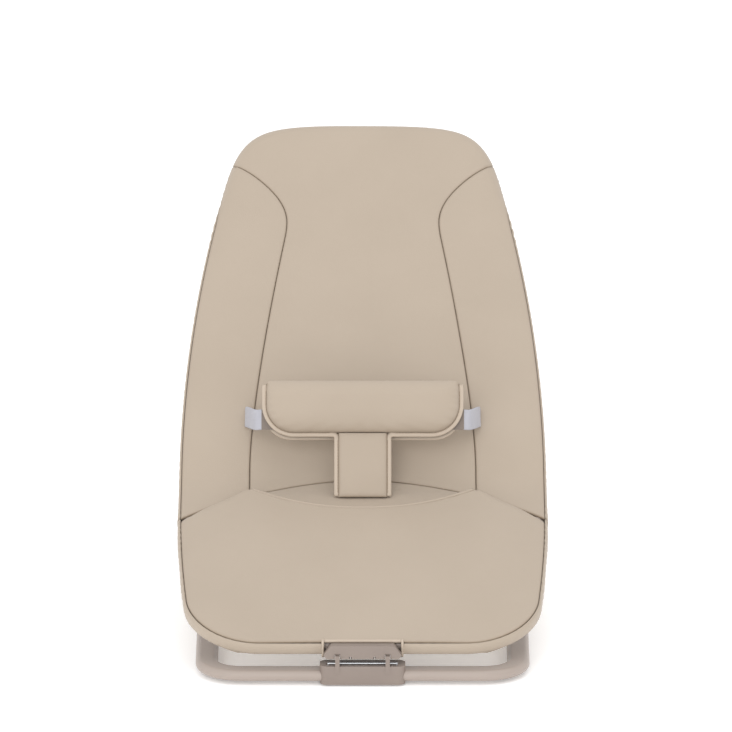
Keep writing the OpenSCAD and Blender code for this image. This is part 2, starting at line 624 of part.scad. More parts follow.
// Slots in the cover that the webbing passes through
module strap_slots() both_sides() on_back()
    translate([strap_slot_x - 2, strap_slot_t - webbing_w / 2 - 1.5, -track_face])
        cube([4, webbing_w + 3, 3 * track_face]);
module back_panel() color(c_cover) placed() difference() {
    count = 8;
    seat_slab([for (b = concat(back_rows, head_rows)) [for (i = [-count:count])
        back_pt((seam_u(b) - (seam_u(b) < 1 ? seam_share : 0)) * i / count, b)]], pad_low);
    strap_slots();
}
module bolster() difference() {
    seat_slab([for (b = back_rows) [for (i = [0:6])
        back_pt(seam_u(b) + seam_share + (1 - seam_u(b) - seam_share) * i / 6, b)]], pad_low);
    strap_slots();
}
module bolster_right() color(c_cover) placed() bolster();
module bolster_left() color(c_cover) placed() scale([-1, 1, 1]) bolster();

// Band round the edge of the frame: a strip that stands on edge outside the tube
module band_on(outer, inner) {
    low = -pad_low + 0.2;
    high = pad_low - 0.2;
    rings_solid([for (k = [0:len(outer) - 1]) let (o = outer[k], n = inner[k]) [
        seat_pt(n[0], n[1], low), seat_pt(o[0], o[1], low),
        seat_pt(o[0], o[1], high), seat_pt(n[0], n[1], high)]]);
}
module leg_band() color(c_cover) placed() difference() {
    band_on(leg_loop(0, crease_side_s - seam_gap), leg_loop(cloth_t, crease_side_s - seam_gap));
    hub_notch(0);
}
module back_band() color(c_cover) placed()
    band_on(back_loop(0, crease_side_s + seam_gap), back_loop(cloth_t, crease_side_s + seam_gap));

// Rear cloth: a flat skin across the back of the frame
module rear_skin(stations) {
    rows = [for (s = stations) [for (i = [-6:6]) let (u = i / 6) [u * half_w(s), s, -pad_low]]];
    seat_slab(rows, -pad_low - cloth_t + 0.5);
}
module leg_rear_cloth() color(c_cloth) placed() difference() {
    rear_skin(concat(
        [for (turn = [0:18:90]) corner_station(turn)],
        spread(front_corner_r, bend_start_s, 6),
        [bend_start_s]));
    hub_notch(10);
}
module back_rear_cloth() color(c_cloth) placed() difference() {
    rear_skin(concat(
        [bend_start_s + seam_gap],
        [for (k = [1:5]) bend_start_s + 2 * k * elbow_step],
        between(spread(bend_end_s, head_s, 8), bend_end_s, head_s),
        [for (turn = [2, 8, 18, 32, 48, 64, 79]) head_station(turn)]));
    on_back() for (t = [cross_low_t, cross_high_t])
        translate([-track_neck_w / 2 - 1, t - post_l / 2 - 1, -track_face])
            cube([track_neck_w + 2, post_l + 2, 2 * track_face]);
    strap_slots();
}

// ---------- Waist restraint ----------
pad_tilt = 16.6;
pad_y = elbow[0] - 10;
pad_z = elbow[1] + 112;
strap_slot_x = 144;
strap_slot_t = 95;
pad_strap_z = -14;
module on_pad() translate([0, pad_y, pad_z]) rotate([-pad_tilt, 0, 0]) children();
// Outline with its top edge at z 0: nearly square above, well rounded below
pad_top_r = 8;
pad_low_r = 38;
module pad_outline(w, h) {
    translate([-w / 2 + pad_low_r, -h]) square([w - 2 * pad_low_r, h]);
    translate([-w / 2, -h + pad_low_r]) square([w, h - pad_low_r - pad_top_r]);
    translate([-w / 2 + pad_top_r, -pad_low_r]) square([w - 2 * pad_top_r, pad_low_r]);
    for (side = [-1, 1]) {
        translate([side * (w / 2 - pad_top_r), -pad_top_r]) circle(r = pad_top_r);
        intersection() {
            translate([side * (w / 2 - pad_low_r), -h + pad_low_r]) circle(r = pad_low_r);
            translate([-w / 2, -h]) square([w, h - pad_top_r]);
        }
    }
}
// A flat pad of the given outline, standing upright, from depth y0 back to y1
module upright(y0, y1) translate([0, y1, 0]) rotate([90, 0, 0]) linear_extrude(y1 - y0) children();
pad_front_y = -9;
pad_back_y = 3;
tunnel_y = pad_back_y + 9;
flap_y = tunnel_y + 3.4;
flap_show = 4;
module waist_pad() color(c_cover) placed() on_pad() translate([0, 0, waist_pad_h / 2])
    upright(pad_front_y, pad_back_y) pad_outline(waist_pad_w, waist_pad_h);
module waist_rear_flap() color(c_cover) placed() on_pad() translate([0, 0, waist_pad_h / 2])
    upright(tunnel_y, flap_y) pad_outline(waist_pad_w - 4, waist_pad_h + flap_show);
// The crotch pad runs from the seat's seam up to the waist pad's lower edge
// Its round lower edge turns on the seam, just clear of the panel
crotch_foot_s = leg_l - 33;
crotch_foot_h = lens_height(0, crotch_foot_s) + 0.6 + crotch_t / 2;
crotch_foot = spine(crotch_foot_s) + crotch_foot_h * nrm(slope(crotch_foot_s));
crotch_top_y = pad_y - waist_pad_h / 2 * sin(pad_tilt);
crotch_top_z = pad_z - waist_pad_h / 2 * cos(pad_tilt);
crotch_v = [crotch_top_y, crotch_top_z] - crotch_foot;
module crotch_pad() color(c_cover) placed()
    translate([0, crotch_foot[0], crotch_foot[1]]) rotate([atan2(crotch_v[1], crotch_v[0]) - 90, 0, 0]) {
        translate([-crotch_w / 2, -crotch_t / 2, 0]) cube([crotch_w, crotch_t, norm(crotch_v) - 2.5]);
        translate([-crotch_w / 2, 0, 0]) rotate([0, 90, 0]) cylinder(d = crotch_t, h = crotch_w);
    }

// Webbing from the anchor, through the slot in the back's seam, forward to the waist pad's side
module waist_strap() {
    slot = [elbow[0], elbow[1]] + strap_slot_t * dir(back_up);
    behind = slot - 17 * nrm(back_up);
    front = slot + (pad_low + 14) * nrm(back_up);
    start = [strap_slot_x, behind[0], behind[1]];
    face = [strap_slot_x, front[0], front[1]];
    end = [waist_pad_w / 2 + 3, pad_y + pad_strap_z * sin(pad_tilt) + 7, pad_z + pad_strap_z * cos(pad_tilt)];
    bow = (face + end) / 2 + [5, -4, -1];
    route = [start, face, bow, end];
    up_pad = [0, sin(pad_tilt), cos(pad_tilt)];
    up_back = [0, dir(back_up)[0], dir(back_up)[1]];
    rings_solid([for (k = [0:3])
        let (wide = unit(up_pad * (k / 3) + up_back * (1 - k / 3)) * webbing_w / 2,
             flat = unit(cross(along(route, k), wide)) * webbing_t / 2)
        [route[k] - wide - flat, route[k] + wide - flat, route[k] + wide + flat, route[k] - wide + flat]]);
}
module waist_strap_right() color(c_web) placed() waist_strap();
module waist_strap_left() color(c_web) placed() scale([-1, 1, 1]) waist_strap();
// Three-bar slide behind the rear cloth, which sets the webbing's length
module strap_anchor() on_back()
    translate([strap_slot_x, strap_slot_t, -hoop_r - cloth_t - 3.5]) difference() {
        cube([24, webbing_w + 10, 3], center = true);
        cube([4, webbing_w + 3, 10], center = true);
        for (side = [-1, 1]) translate([side * 7.5, 0, 0]) cube([3.4, webbing_w + 3, 10], center = true);
    }
module strap_anchor_right() color(c_hub) placed() strap_anchor();
module strap_anchor_left() color(c_hub) placed() scale([-1, 1, 1]) strap_anchor();

// Buckle in the pad's tunnel: body, two tongues on short webbing ends, and a press button
buckle_w = 58;
buckle_h = 34;
buckle_t = tunnel_y - pad_back_y - 1.4;
tongue_l = 22;
module on_buckle() on_pad() translate([0, (pad_back_y + tunnel_y) / 2, pad_strap_z + 4]) children();
module buckle_body() color(c_button) placed() on_buckle() difference() {
    cube([buckle_w, buckle_t, buckle_h], center = true);
    for (side = [-1, 1]) translate([side * buckle_w / 2, 0, -4]) cube([2 * tongue_l, 3.2, 22], center = true);
    translate([-6.4, -2.4, 4]) cube([12.8, 4.8, buckle_h]);
}
module tongue() {
    x0 = buckle_w / 2 - tongue_l + 1;
    translate([x0, -1.2, -13]) cube([tongue_l + 3, 2.4, 18]);
    translate([buckle_w / 2 + 3, -2.4, -17]) cube([10, 4.8, 26]);
    translate([buckle_w / 2 + 13, -webbing_t / 2, -4 - webbing_w / 2])
        cube([waist_pad_w / 2 - buckle_w / 2 - 12, webbing_t, webbing_w]);
}
module buckle_tongue_right() color(c_button) placed() on_buckle() tongue();
module buckle_tongue_left() color(c_button) placed() on_buckle() scale([-1, 1, 1]) tongue();
module buckle_button() color(c_hub) placed() on_buckle()
    translate([-6, -2, 9.4]) cube([12, 4, buckle_h / 2 - 9.4 + 4]);
module buckle_spring() color(c_steel) placed() on_buckle()
    translate([0, 0, 4.2]) cylinder(d = 3.6, h = 5, $fn = 24);

// ---------- Swinging stand ----------
module on_stand() translate([0, stand_pivot[0], stand_pivot[1]]) rotate([stand_lean, 0, 0]) children();
stand_half = stand_w / 2;
stand_leg_start = 12;
module stand_section() difference() {
    circle(d = stand_d);
    circle(d = stand_d - 2 * hoop_wall);
}
module stand_tube() color(c_tube) placed() on_stand() {
    both_sides() {
        translate([stand_half, 0, stand_leg_start])
            linear_extrude(stand_l - stand_corner_r - stand_leg_start) stand_section();
        translate([stand_half - stand_corner_r, 0, stand_l - stand_corner_r]) rotate([90, 0, 0])
            rotate_extrude(angle = 90) translate([stand_corner_r, 0]) stand_section();
    }
    translate([-stand_half + stand_corner_r, 0, stand_l]) rotate([0, 90, 0])
        linear_extrude(stand_w - 2 * stand_corner_r) stand_section();
}
// Moulded foot on each leg: a plug and an eye that turns on the pivot pin
module stand_end() difference() {
    union() {
        rotate([0, 90, 0]) translate([0, 0, -eye_t / 2]) cylinder(d = stand_pin_d + 11, h = eye_t);
        cylinder(d = stand_d - 2, h = stand_leg_start - 0.2);
        cylinder(d = stand_d - 2 * hoop_wall - 0.1, h = stand_leg_start + 24);
    }
    rotate([0, 90, 0]) translate([0, 0, -eye_t]) cylinder(r = stand_pin_d / 2 + pivot_gap, h = 2 * eye_t);
}
module stand_end_right() color(c_hub) placed() on_stand() translate([stand_half, 0, 0]) stand_end();
module stand_end_left() color(c_hub) placed() on_stand() translate([-stand_half, 0, 0]) stand_end();
module stand_pins() color(c_steel) placed() both_sides()
    translate([stand_half - eye_t / 2 - 1, stand_pivot[0], stand_pivot[1]]) rotate([0, 90, 0]) {
        cylinder(d = stand_pin_d, h = boss_x - stand_half + eye_t / 2 + 1 + pin_depth);
        translate([0, 0, -2.6]) cylinder(d = stand_pin_d + 5, h = 2.6);
    }

// ---------- Slider on the stand's crossbar ----------
slider_w = track_w + 14;
slider_low_t = cross_s - 18;
rail_gap = 0.6;
latch_t = cross_s + 26;
latch_bore_d = plunger_d + 0.4;
module slider_block(z0, z1) translate([-slider_w / 2, slider_low_t, z0]) cube([slider_w, slider_l, z1 - z0]);
module crossbar_bore() translate([-slider_w, cross_s, -cross_off]) rotate([0, 90, 0])
    cylinder(r = stand_d / 2 + pivot_gap, h = 2 * slider_w);
module slider_screw_places(z) for (side = [-1, 1])
    translate([side * (slider_w / 2 - 5), latch_t, z]) children();
slider_top = -track_face + track_head_t + rail_gap + 3;
slider_bottom = -cross_off - stand_d / 2 - 4;
slider_split = -cross_off;
// The spring sits in a bore on the split, under the plunger's collar
spring_l = 2 * latch_travel;
collar_t = 1.4;
spring_bore_l = spring_l + collar_t + 0.6;
slider_screw_d = 3;
module latch_bore() translate([0, latch_t, slider_bottom - 1])
    cylinder(d = latch_bore_d, h = -track_face - slider_bottom + 1);
module slider_housing() color(c_hub) placed() on_back() difference() {
    slider_block(slider_split, slider_top);
    translate([-track_w / 2 - rail_gap, track_end_t, -track_face - rail_gap])
        cube([track_w + 2 * rail_gap, seat_l, track_head_t + 2 * rail_gap]);
    translate([-track_neck_w / 2 - rail_gap, track_end_t, -track_face])
        cube([track_neck_w + 2 * rail_gap, seat_l, 2 * track_face]);
    crossbar_bore();
    latch_bore();
    translate([0, latch_t, slider_split - 0.1]) cylinder(d = plunger_d + 5, h = spring_bore_l + 0.1);
    slider_screw_places(slider_split - 1) cylinder(d = slider_screw_d, h = 12);
}
module slider_cap() color(c_hub) placed() on_back() difference() {
    slider_block(slider_bottom, slider_split - 0.05);
    crossbar_bore();
    latch_bore();
    slider_screw_places(slider_bottom - 1) {
        cylinder(d = slider_screw_d + 0.4, h = slider_l);
        cylinder(d = 2 * slider_screw_d + 1, h = 4);
    }
}
module slider_screws() color(c_steel) placed() on_back() slider_screw_places(slider_bottom + 1)
    pan_screw(20, slider_screw_d, 2 * slider_screw_d, 2);
// Spring-loaded brake plunger, with the knob that pulls it off the track
knob_h = 12;
knob_gap = 4;
plunger_foot_z = slider_bottom - knob_h;
module latch_plunger() color(c_steel) placed() on_back() translate([0, latch_t, 0]) {
    translate([0, 0, plunger_foot_z]) cylinder(d = plunger_d, h = -track_face - 0.3 - plunger_foot_z);
    translate([0, 0, slider_split + spring_l + 0.3]) cylinder(d = plunger_d + 4, h = collar_t);
}
module latch_knob() color(c_button) placed() on_back()
    translate([0, latch_t, slider_bottom - knob_gap - knob_h]) difference() {
        cylinder(d1 = plunger_d + 14, d2 = plunger_d + 18, h = knob_h);
        translate([0, 0, knob_gap]) cylinder(d = plunger_d, h = knob_h);
    }
module latch_spring() color(c_steel) placed() on_back()
    translate([0, latch_t, slider_split + 0.1]) difference() {
        cylinder(d = plunger_d + 3.6, h = spring_l);
        translate([0, 0, -1]) cylinder(d = plunger_d + 1, h = spring_l + 2);
    }

base_front_tube();
base_rear_tube();
side_connector_left();
side_connector_right();
feet_front();
feet_rear();
front_hub_upper_shell();
front_hub_lower_shell();
front_hub_screws();
front_hinge_pin();
hinge_spring_wire();
seat_hub_front_shell();
seat_hub_rear_shell();
seat_hub_screws();
leg_hoop_tube();
back_hoop_tube();
elbow_sleeve_left();
elbow_sleeve_right();
cross_tube_lower();
cross_tube_upper();
recline_track();
track_screws();
leg_panel();
seat_bottom_panel();
back_panel();
bolster_left();
bolster_right();
leg_band();
back_band();
leg_rear_cloth();
back_rear_cloth();
strap_anchor_left();
strap_anchor_right();
waist_strap_left();
waist_strap_right();
crotch_pad();
waist_pad();
waist_rear_flap();
buckle_body();
buckle_tongue_left();
buckle_tongue_right();
buckle_button();
buckle_spring();
stand_tube();
stand_end_left();
stand_end_right();
stand_pins();
slider_housing();
slider_cap();
slider_screws();
latch_plunger();
latch_knob();
latch_spring();
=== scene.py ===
import math

import bmesh
import bpy
import numpy as np
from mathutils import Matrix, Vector, noise


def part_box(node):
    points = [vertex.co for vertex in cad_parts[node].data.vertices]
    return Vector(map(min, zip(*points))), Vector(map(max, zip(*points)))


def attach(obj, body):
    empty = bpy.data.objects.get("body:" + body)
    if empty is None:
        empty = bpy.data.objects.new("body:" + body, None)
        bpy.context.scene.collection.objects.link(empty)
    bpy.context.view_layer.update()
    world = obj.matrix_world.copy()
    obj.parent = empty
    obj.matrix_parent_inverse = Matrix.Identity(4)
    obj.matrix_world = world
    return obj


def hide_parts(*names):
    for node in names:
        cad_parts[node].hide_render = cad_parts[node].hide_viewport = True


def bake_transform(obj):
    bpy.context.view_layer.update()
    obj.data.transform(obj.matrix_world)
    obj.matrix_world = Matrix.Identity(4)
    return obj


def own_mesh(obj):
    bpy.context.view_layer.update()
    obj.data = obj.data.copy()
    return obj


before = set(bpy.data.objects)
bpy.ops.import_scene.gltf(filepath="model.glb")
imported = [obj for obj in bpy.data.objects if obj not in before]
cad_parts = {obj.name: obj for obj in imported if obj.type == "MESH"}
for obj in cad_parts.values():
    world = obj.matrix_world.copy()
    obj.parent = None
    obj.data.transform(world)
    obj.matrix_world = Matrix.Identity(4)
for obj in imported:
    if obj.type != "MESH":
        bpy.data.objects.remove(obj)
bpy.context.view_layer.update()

# ---------------------------------------------------------------- camera, floor and light
# A long lens from in front and a little above, a plain white floor, and soft studio light:
# one broad panel in front, one overhead and a pale surround.
MM = 0.001


def aim(thing, target):
    """Turns a camera or lamp so that it looks at a point."""
    away = Vector(target) - thing.location
    thing.rotation_euler = away.to_track_quat("-Z", "Y").to_euler()


camera_data = bpy.data.cameras.new("studio_camera")
camera_data.lens = 152.5
camera_data.sensor_width = 36.0
camera_data.clip_end = 60.0
camera = bpy.data.objects.new("studio_camera", camera_data)
bpy.context.scene.collection.objects.link(camera)
camera.location = (0.004, -3.738, 1.154)
aim(camera, (0.004, camera.location.y + math.cos(math.radians(12.81)),
             camera.location.z - math.sin(math.radians(12.81))))
bpy.context.scene.camera = camera
bpy.context.scene.view_settings.view_transform = "Standard"


def linear(hex_colour):
    """An sRGB hex colour as linear red, green, blue and alpha."""
    channels = [int(hex_colour[i:i + 2], 16) / 255 for i in (1, 3, 5)]
    return [c / 12.92 if c <= 0.04045 else ((c + 0.055) / 1.055) ** 2.4 for c in channels] + [1.0]


def add_node(tree, kind, settings=None, sockets=None, links=None):
    """Adds a shader node with its properties, socket values, and links from (node, output) pairs.

    Sockets go by name, or by number where names repeat, as on a Mix node's colours: 6, 7 and output 2."""
    made = tree.nodes.new(kind)
    for name, value in (settings or {}).items():
        setattr(made, name, value)
    for name, value in (sockets or {}).items():
        made.inputs[name].default_value = value
    for name, (source, output) in (links or {}).items():
        tree.links.new(source.outputs[output], made.inputs[name])
    return made


def new_material(name):
    """An empty node material, with its tree and the object-space coordinates that its patterns use."""
    made = bpy.data.materials.new(name)
    made.use_nodes = True
    made.node_tree.nodes.clear()
    place = add_node(made.node_tree, "ShaderNodeTexCoord")
    return made, made.node_tree, place


def finish_material(tree, shader):
    add_node(tree, "ShaderNodeOutputMaterial", links={"Surface": (shader, "BSDF")})


# Matt white lacquered board: an even white that shows only the soft shadow under the object
floor_paint, tree, place = new_material("white_lacquered_board")
finish_material(tree, add_node(tree, "ShaderNodeBsdfPrincipled", sockets={
    "Base Color": linear("#FDFDFD"), "Roughness": 0.75, "Specular IOR Level": 0.15,
    "Emission Color": linear("#FFFFFF"), "Emission Strength": 0.2}))
floor_mesh = bpy.data.meshes.new("studio_floor")
FLOOR_HALF = 26.0
floor_mesh.from_pydata([(-FLOOR_HALF, -8, 0), (FLOOR_HALF, -8, 0), (FLOOR_HALF, 50, 0), (-FLOOR_HALF, 50, 0)],
                       [], [(0, 1, 2, 3)])
floor_mesh.materials.append(floor_paint)
floor = bpy.data.objects.new("studio_floor", floor_mesh)
bpy.context.scene.collection.objects.link(floor)

surround = bpy.data.worlds.new("pale_surround")
surround.use_nodes = True
surround.node_tree.nodes["Background"].inputs["Color"].default_value = (1.0, 1.0, 1.0, 1.0)
surround.node_tree.nodes["Background"].inputs["Strength"].default_value = 1.0
bpy.context.scene.world = surround

for name, place_m, target, size, power in (
        ("front_panel", (-0.9, -3.4, 1.7), (0.0, 0.0, 0.2), 2.2, 30.0),
        ("overhead_panel", (0.5, -0.4, 3.2), (0.0, 0.1, 0.2), 2.6, 16.0)):
    lamp_data = bpy.data.lights.new(name, "AREA")
    lamp_data.size = size
    lamp_data.energy = power
    lamp = bpy.data.objects.new(name, lamp_data)
    bpy.context.scene.collection.objects.link(lamp)
    lamp.location = place_m
    aim(lamp, target)

# ---------------------------------------------------------------- base ring and seat frame tubes
# Steel tube, bent and then powder coated in semi-gloss taupe: two halves of a flat-oval ring on
# the floor, and the round tubes of the seat frame and the stand. Their CAD shapes are kept.
ORANGE_PEEL_MM = 2.2  # the coat's ripple
coat_paint, tree, place = new_material("powder_coated_steel")
# Powder coat gives a soft even gloss with a faint ripple, and the colour is the same all over
ripple = add_node(tree, "ShaderNodeTexNoise", sockets={
    "Scale": 1 / (ORANGE_PEEL_MM * MM), "Detail": 2.0}, links={"Vector": (place, "Object")})
cloud = add_node(tree, "ShaderNodeTexNoise", sockets={"Scale": 9.0, "Detail": 3.0},
                 links={"Vector": (place, "Object")})
tone = add_node(tree, "ShaderNodeMix", settings={"data_type": "RGBA"}, sockets={
    6: linear("#A2958C"), 7: linear("#AA9D94")}, links={"Factor": (cloud, "Fac")})
gloss = add_node(tree, "ShaderNodeMapRange", sockets={"To Min": 0.34, "To Max": 0.44},
                 links={"Value": (ripple, "Fac")})
relief = add_node(tree, "ShaderNodeBump", sockets={"Strength": 0.12, "Distance": 0.00025},
                  links={"Height": (ripple, "Fac")})
finish_material(tree, add_node(tree, "ShaderNodeBsdfPrincipled", sockets={"IOR": 1.5}, links={
    "Base Color": (tone, 2), "Roughness": (gloss, "Result"), "Normal": (relief, "Normal")}))


def paint(object_, material):
    """Puts one material on an object, in place of any it has."""
    if object_.data.materials:
        for i in range(len(object_.data.materials)):
            object_.data.materials[i] = material
    else:
        object_.data.materials.append(material)


def soften_edges(object_, width_mm, turn_deg=32):
    """Rounds a CAD node's sharp edges with modifiers, which leave its own mesh as it is."""
    weld = object_.modifiers.new("weld", "WELD")
    weld.merge_threshold = 0.00002
    bevel = object_.modifiers.new("edge", "BEVEL")
    bevel.width = width_mm * MM
    bevel.segments = 3
    bevel.limit_method = "ANGLE"
    bevel.angle_limit = math.radians(turn_deg)
    bevel.harden_normals = False
    bevel.use_clamp_overlap = True


for node in ("base_front_tube", "base_rear_tube", "leg_hoop_tube", "back_hoop_tube", "cross_tube_lower",
             "cross_tube_upper", "stand_tube"):
    paint(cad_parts[node], coat_paint)

# ---------------------------------------------------------------- moulded hubs, connectors and slider
# Injection-moulded nylon in taupe: the lower hub clamps the ring, the seat hub clamps the seat
# frame, the connectors sleeve the rail joints, and the slider and its track set the recline.
SPARK_MM = 0.9  # grain of the spark-eroded mould, drawn about twice as coarse so that it shows
nylon_taupe, tree, place = new_material("spark_textured_nylon")
# A fine even grain from the mould breaks up the gloss, and the rounded edges are a little smoother
grain = add_node(tree, "ShaderNodeTexNoise", sockets={
    "Scale": 1 / (SPARK_MM * MM), "Detail": 4.0, "Roughness": 0.6}, links={"Vector": (place, "Object")})
cloud = add_node(tree, "ShaderNodeTexNoise", sockets={"Scale": 22.0, "Detail": 2.0},
                 links={"Vector": (place, "Object")})
tone = add_node(tree, "ShaderNodeMix", settings={"data_type": "RGBA"}, sockets={
    6: linear("#877A72"), 7: linear("#8F8279")}, links={"Factor": (cloud, "Fac")})
gloss = add_node(tree, "ShaderNodeMapRange", sockets={"To Min": 0.46, "To Max": 0.6},
                 links={"Value": (grain, "Fac")})
relief = add_node(tree, "ShaderNodeBump", sockets={"Strength": 0.3, "Distance": 0.0002},
                  links={"Height": (grain, "Fac")})
finish_material(tree, add_node(tree, "ShaderNodeBsdfPrincipled", sockets={"IOR": 1.53}, links={
    "Base Color": (tone, 2), "Roughness": (gloss, "Result"), "Normal": (relief, "Normal")}))

for node, round_mm in (("side_connector_left", 1.2), ("side_connector_right", 1.2),
                       ("front_hub_upper_shell", 1.4),
                       ("front_hub_lower_shell", 1.4), ("seat_hub_front_shell", 0.4),
                       ("seat_hub_rear_shell", 0.4),
                       ("recline_track", 0.6), ("stand_end_left", 0.8), ("stand_end_right", 0.8),
                       ("slider_housing", 1.2), ("slider_cap", 1.2), ("strap_anchor_left", 0.6),
                       ("strap_anchor_right", 0.6)):
    paint(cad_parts[node], nylon_taupe)
    soften_edges(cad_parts[node], round_mm)

# Darker moulded acetal, for the buckle and the latch's knob
acetal_dark, tree, place = new_material("moulded_acetal")
# Acetal is waxy: a low even sheen on a dense dark taupe
grain = add_node(tree, "ShaderNodeTexNoise", sockets={
    "Scale": 1 / (SPARK_MM * MM), "Detail": 3.0}, links={"Vector": (place, "Object")})
gloss = add_node(tree, "ShaderNodeMapRange", sockets={"To Min": 0.34, "To Max": 0.46},
                 links={"Value": (grain, "Fac")})
relief = add_node(tree, "ShaderNodeBump", sockets={"Strength": 0.15, "Distance": 0.0002},
                  links={"Height": (grain, "Fac")})
finish_material(tree, add_node(tree, "ShaderNodeBsdfPrincipled", sockets={
    "Base Color": linear("#7C7067"), "IOR": 1.48}, links={
    "Roughness": (gloss, "Result"), "Normal": (relief, "Normal")}))
for node, round_mm in (("buckle_body", 0.8), ("buckle_tongue_left", 0.5), ("buckle_tongue_right", 0.5),
                       ("buckle_button", 0.6), ("latch_knob", 1.6)):
    paint(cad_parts[node], acetal_dark)
    soften_edges(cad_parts[node], round_mm)

# ---------------------------------------------------------------- feet
# Moulded thermoplastic rubber pads, pushed up under the rails, matt and slightly dusty.
rubber, tree, place = new_material("moulded_rubber")
# Rubber scatters light with no clear highlight, and picks up a pale bloom in patches
bloom = add_node(tree, "ShaderNodeTexNoise", sockets={"Scale": 60.0, "Detail": 5.0},
                 links={"Vector": (place, "Object")})
tone = add_node(tree, "ShaderNodeMix", settings={"data_type": "RGBA"}, sockets={
    6: linear("#4B4642"), 7: linear("#5C5651")}, links={"Factor": (bloom, "Fac")})
relief = add_node(tree, "ShaderNodeBump", sockets={"Strength": 0.3, "Distance": 0.0003},
                  links={"Height": (bloom, "Fac")})
finish_material(tree, add_node(tree, "ShaderNodeBsdfPrincipled", sockets={"Roughness": 0.82, "IOR": 1.52},
                               links={
    "Base Color": (tone, 2), "Normal": (relief, "Normal")}))
for node in ("feet_front", "feet_rear"):
    paint(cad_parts[node], rubber)
    soften_edges(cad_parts[node], 0.8)

# ---------------------------------------------------------------- pins, screws and wire
# Zinc-plated steel: turned pins, pan-head screws, the spring wire between the hubs, the latch's
# plunger and the sleeves inside the frame.
PLATING_MM = 1.5
zinc_plate, tree, place = new_material("zinc_plated_steel")
# Bright zinc is a mirror broken by fine drawing marks and small cloudy patches
marks = add_node(tree, "ShaderNodeTexNoise", sockets={
    "Scale": 1 / (PLATING_MM * MM), "Detail": 6.0, "Roughness": 0.7}, links={"Vector": (place, "Object")})
gloss = add_node(tree, "ShaderNodeMapRange", sockets={"To Min": 0.2, "To Max": 0.36},
                 links={"Value": (marks, "Fac")})
finish_material(tree, add_node(tree, "ShaderNodeBsdfPrincipled", sockets={
    "Base Color": linear("#C4C6C9"), "Metallic": 1.0}, links={"Roughness": (gloss, "Result")}))
for node in ("front_hub_screws", "front_hinge_pin", "hinge_spring_wire", "seat_hub_screws",
             "elbow_sleeve_left",
             "elbow_sleeve_right", "track_screws", "stand_pins", "slider_screws", "latch_plunger",
             "latch_spring", "buckle_spring"):
    paint(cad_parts[node], zinc_plate)

# ---------------------------------------------------------------- cover panels
# The padded cover: foam-backed leathercloth panels sewn edge to edge and stretched over the bent
# seat frame. A leg panel, a lens-shaped seat panel, a back panel that flares into the head, and a
# bolster down each side. Sizes in millimetres, y from the ring's front.
RING_FRONT_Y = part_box("base_front_tube")[0].y
LEG_L, BACK_L, ELBOW_R = 297.0, 521.0, 90.0
LEG_ANGLE, BACK_ANGLE = math.radians(20.5), math.radians(49.75)
FRONT_TUBE = np.array([22.0, 44.0])
SEAT_W, SEAT_FRONT_W, SEAT_HEAD_W = 456.0, 398.0, 372.0
CORNER_R, HEAD_L, COVER_OUT = 80.0, 120.0, 12.0
ELBOW_T = ELBOW_R * math.tan((BACK_ANGLE - LEG_ANGLE) / 2)
SEAT_L = LEG_L + BACK_L
WIDEST_S, HEAD_S, FRONT_S, TOP_S = LEG_L + 33, SEAT_L + COVER_OUT - HEAD_L, -COVER_OUT, SEAT_L + COVER_OUT
PAD_LOW = 8.3
CREASE_MID_S, CREASE_SIDE_S, KNEE_S, LENS_U = LEG_L + 11, LEG_L - 66, LEG_L - 62, 0.62
KNEE_CROWN, BOLSTER_CROWN, BACK_CROWN = 15.0, 20.0, 9.0


def turned(angle):
    """Unit vectors along and square to a slope, in (y, z)."""
    angle = np.asarray(angle, float)
    return (np.stack([np.cos(angle), np.sin(angle)], -1), np.stack([-np.sin(angle), np.cos(angle)], -1))


ELBOW = FRONT_TUBE + LEG_L * turned(LEG_ANGLE)[0]
ELBOW_CENTRE = ELBOW - ELBOW_T * turned(LEG_ANGLE)[0] + ELBOW_R * turned(LEG_ANGLE)[1]


def seat_point(x, s, h):
    """Points in metres from x across the seat, s along its frame from the front tube, h above its plane."""
    x, s, h = np.broadcast_arrays(*(np.asarray(v, float) for v in (x, s, h)))
    share = np.clip((s - LEG_L + ELBOW_T) / (2 * ELBOW_T), 0, 1)
    slope = LEG_ANGLE + (BACK_ANGLE - LEG_ANGLE) * share
    run = s - LEG_L
    along, square = turned(slope)
    straight = ELBOW + run[..., None] * along
    bent = ELBOW_CENTRE - ELBOW_R * square
    spine = np.where((np.abs(run) < ELBOW_T)[..., None], bent, straight)
    yz = spine + h[..., None] * square
    return np.stack([x * MM, yz[..., 0] * MM + RING_FRONT_Y, yz[..., 1] * MM], -1)


def smooth(q):
    c = np.clip(q, 0, 1)
    return c * c * (3 - 2 * c)


def side_w(s):
    s = np.asarray(s, float)
    front = (SEAT_W - SEAT_FRONT_W) / 2 / (WIDEST_S - FRONT_S) ** 2
    head = (SEAT_W - SEAT_HEAD_W) / 2 / (HEAD_S - WIDEST_S) ** 2
    return SEAT_W / 2 - np.where(s < WIDEST_S, front, head) * (s - WIDEST_S) ** 2


def half_w(s):
    """Half the cover's width at a station."""
    s = np.asarray(s, float)
    corner = side_w(s) - CORNER_R + np.sqrt(np.maximum(0, CORNER_R ** 2 - np.maximum(0,
        CORNER_R - s + FRONT_S) ** 2))
    head = side_w(s) * np.maximum(0, 1 - (np.maximum(0, s - HEAD_S) / HEAD_L) ** 5) ** 0.3
    return np.where(s - FRONT_S < CORNER_R, corner, np.where(s > HEAD_S, head, side_w(s)))


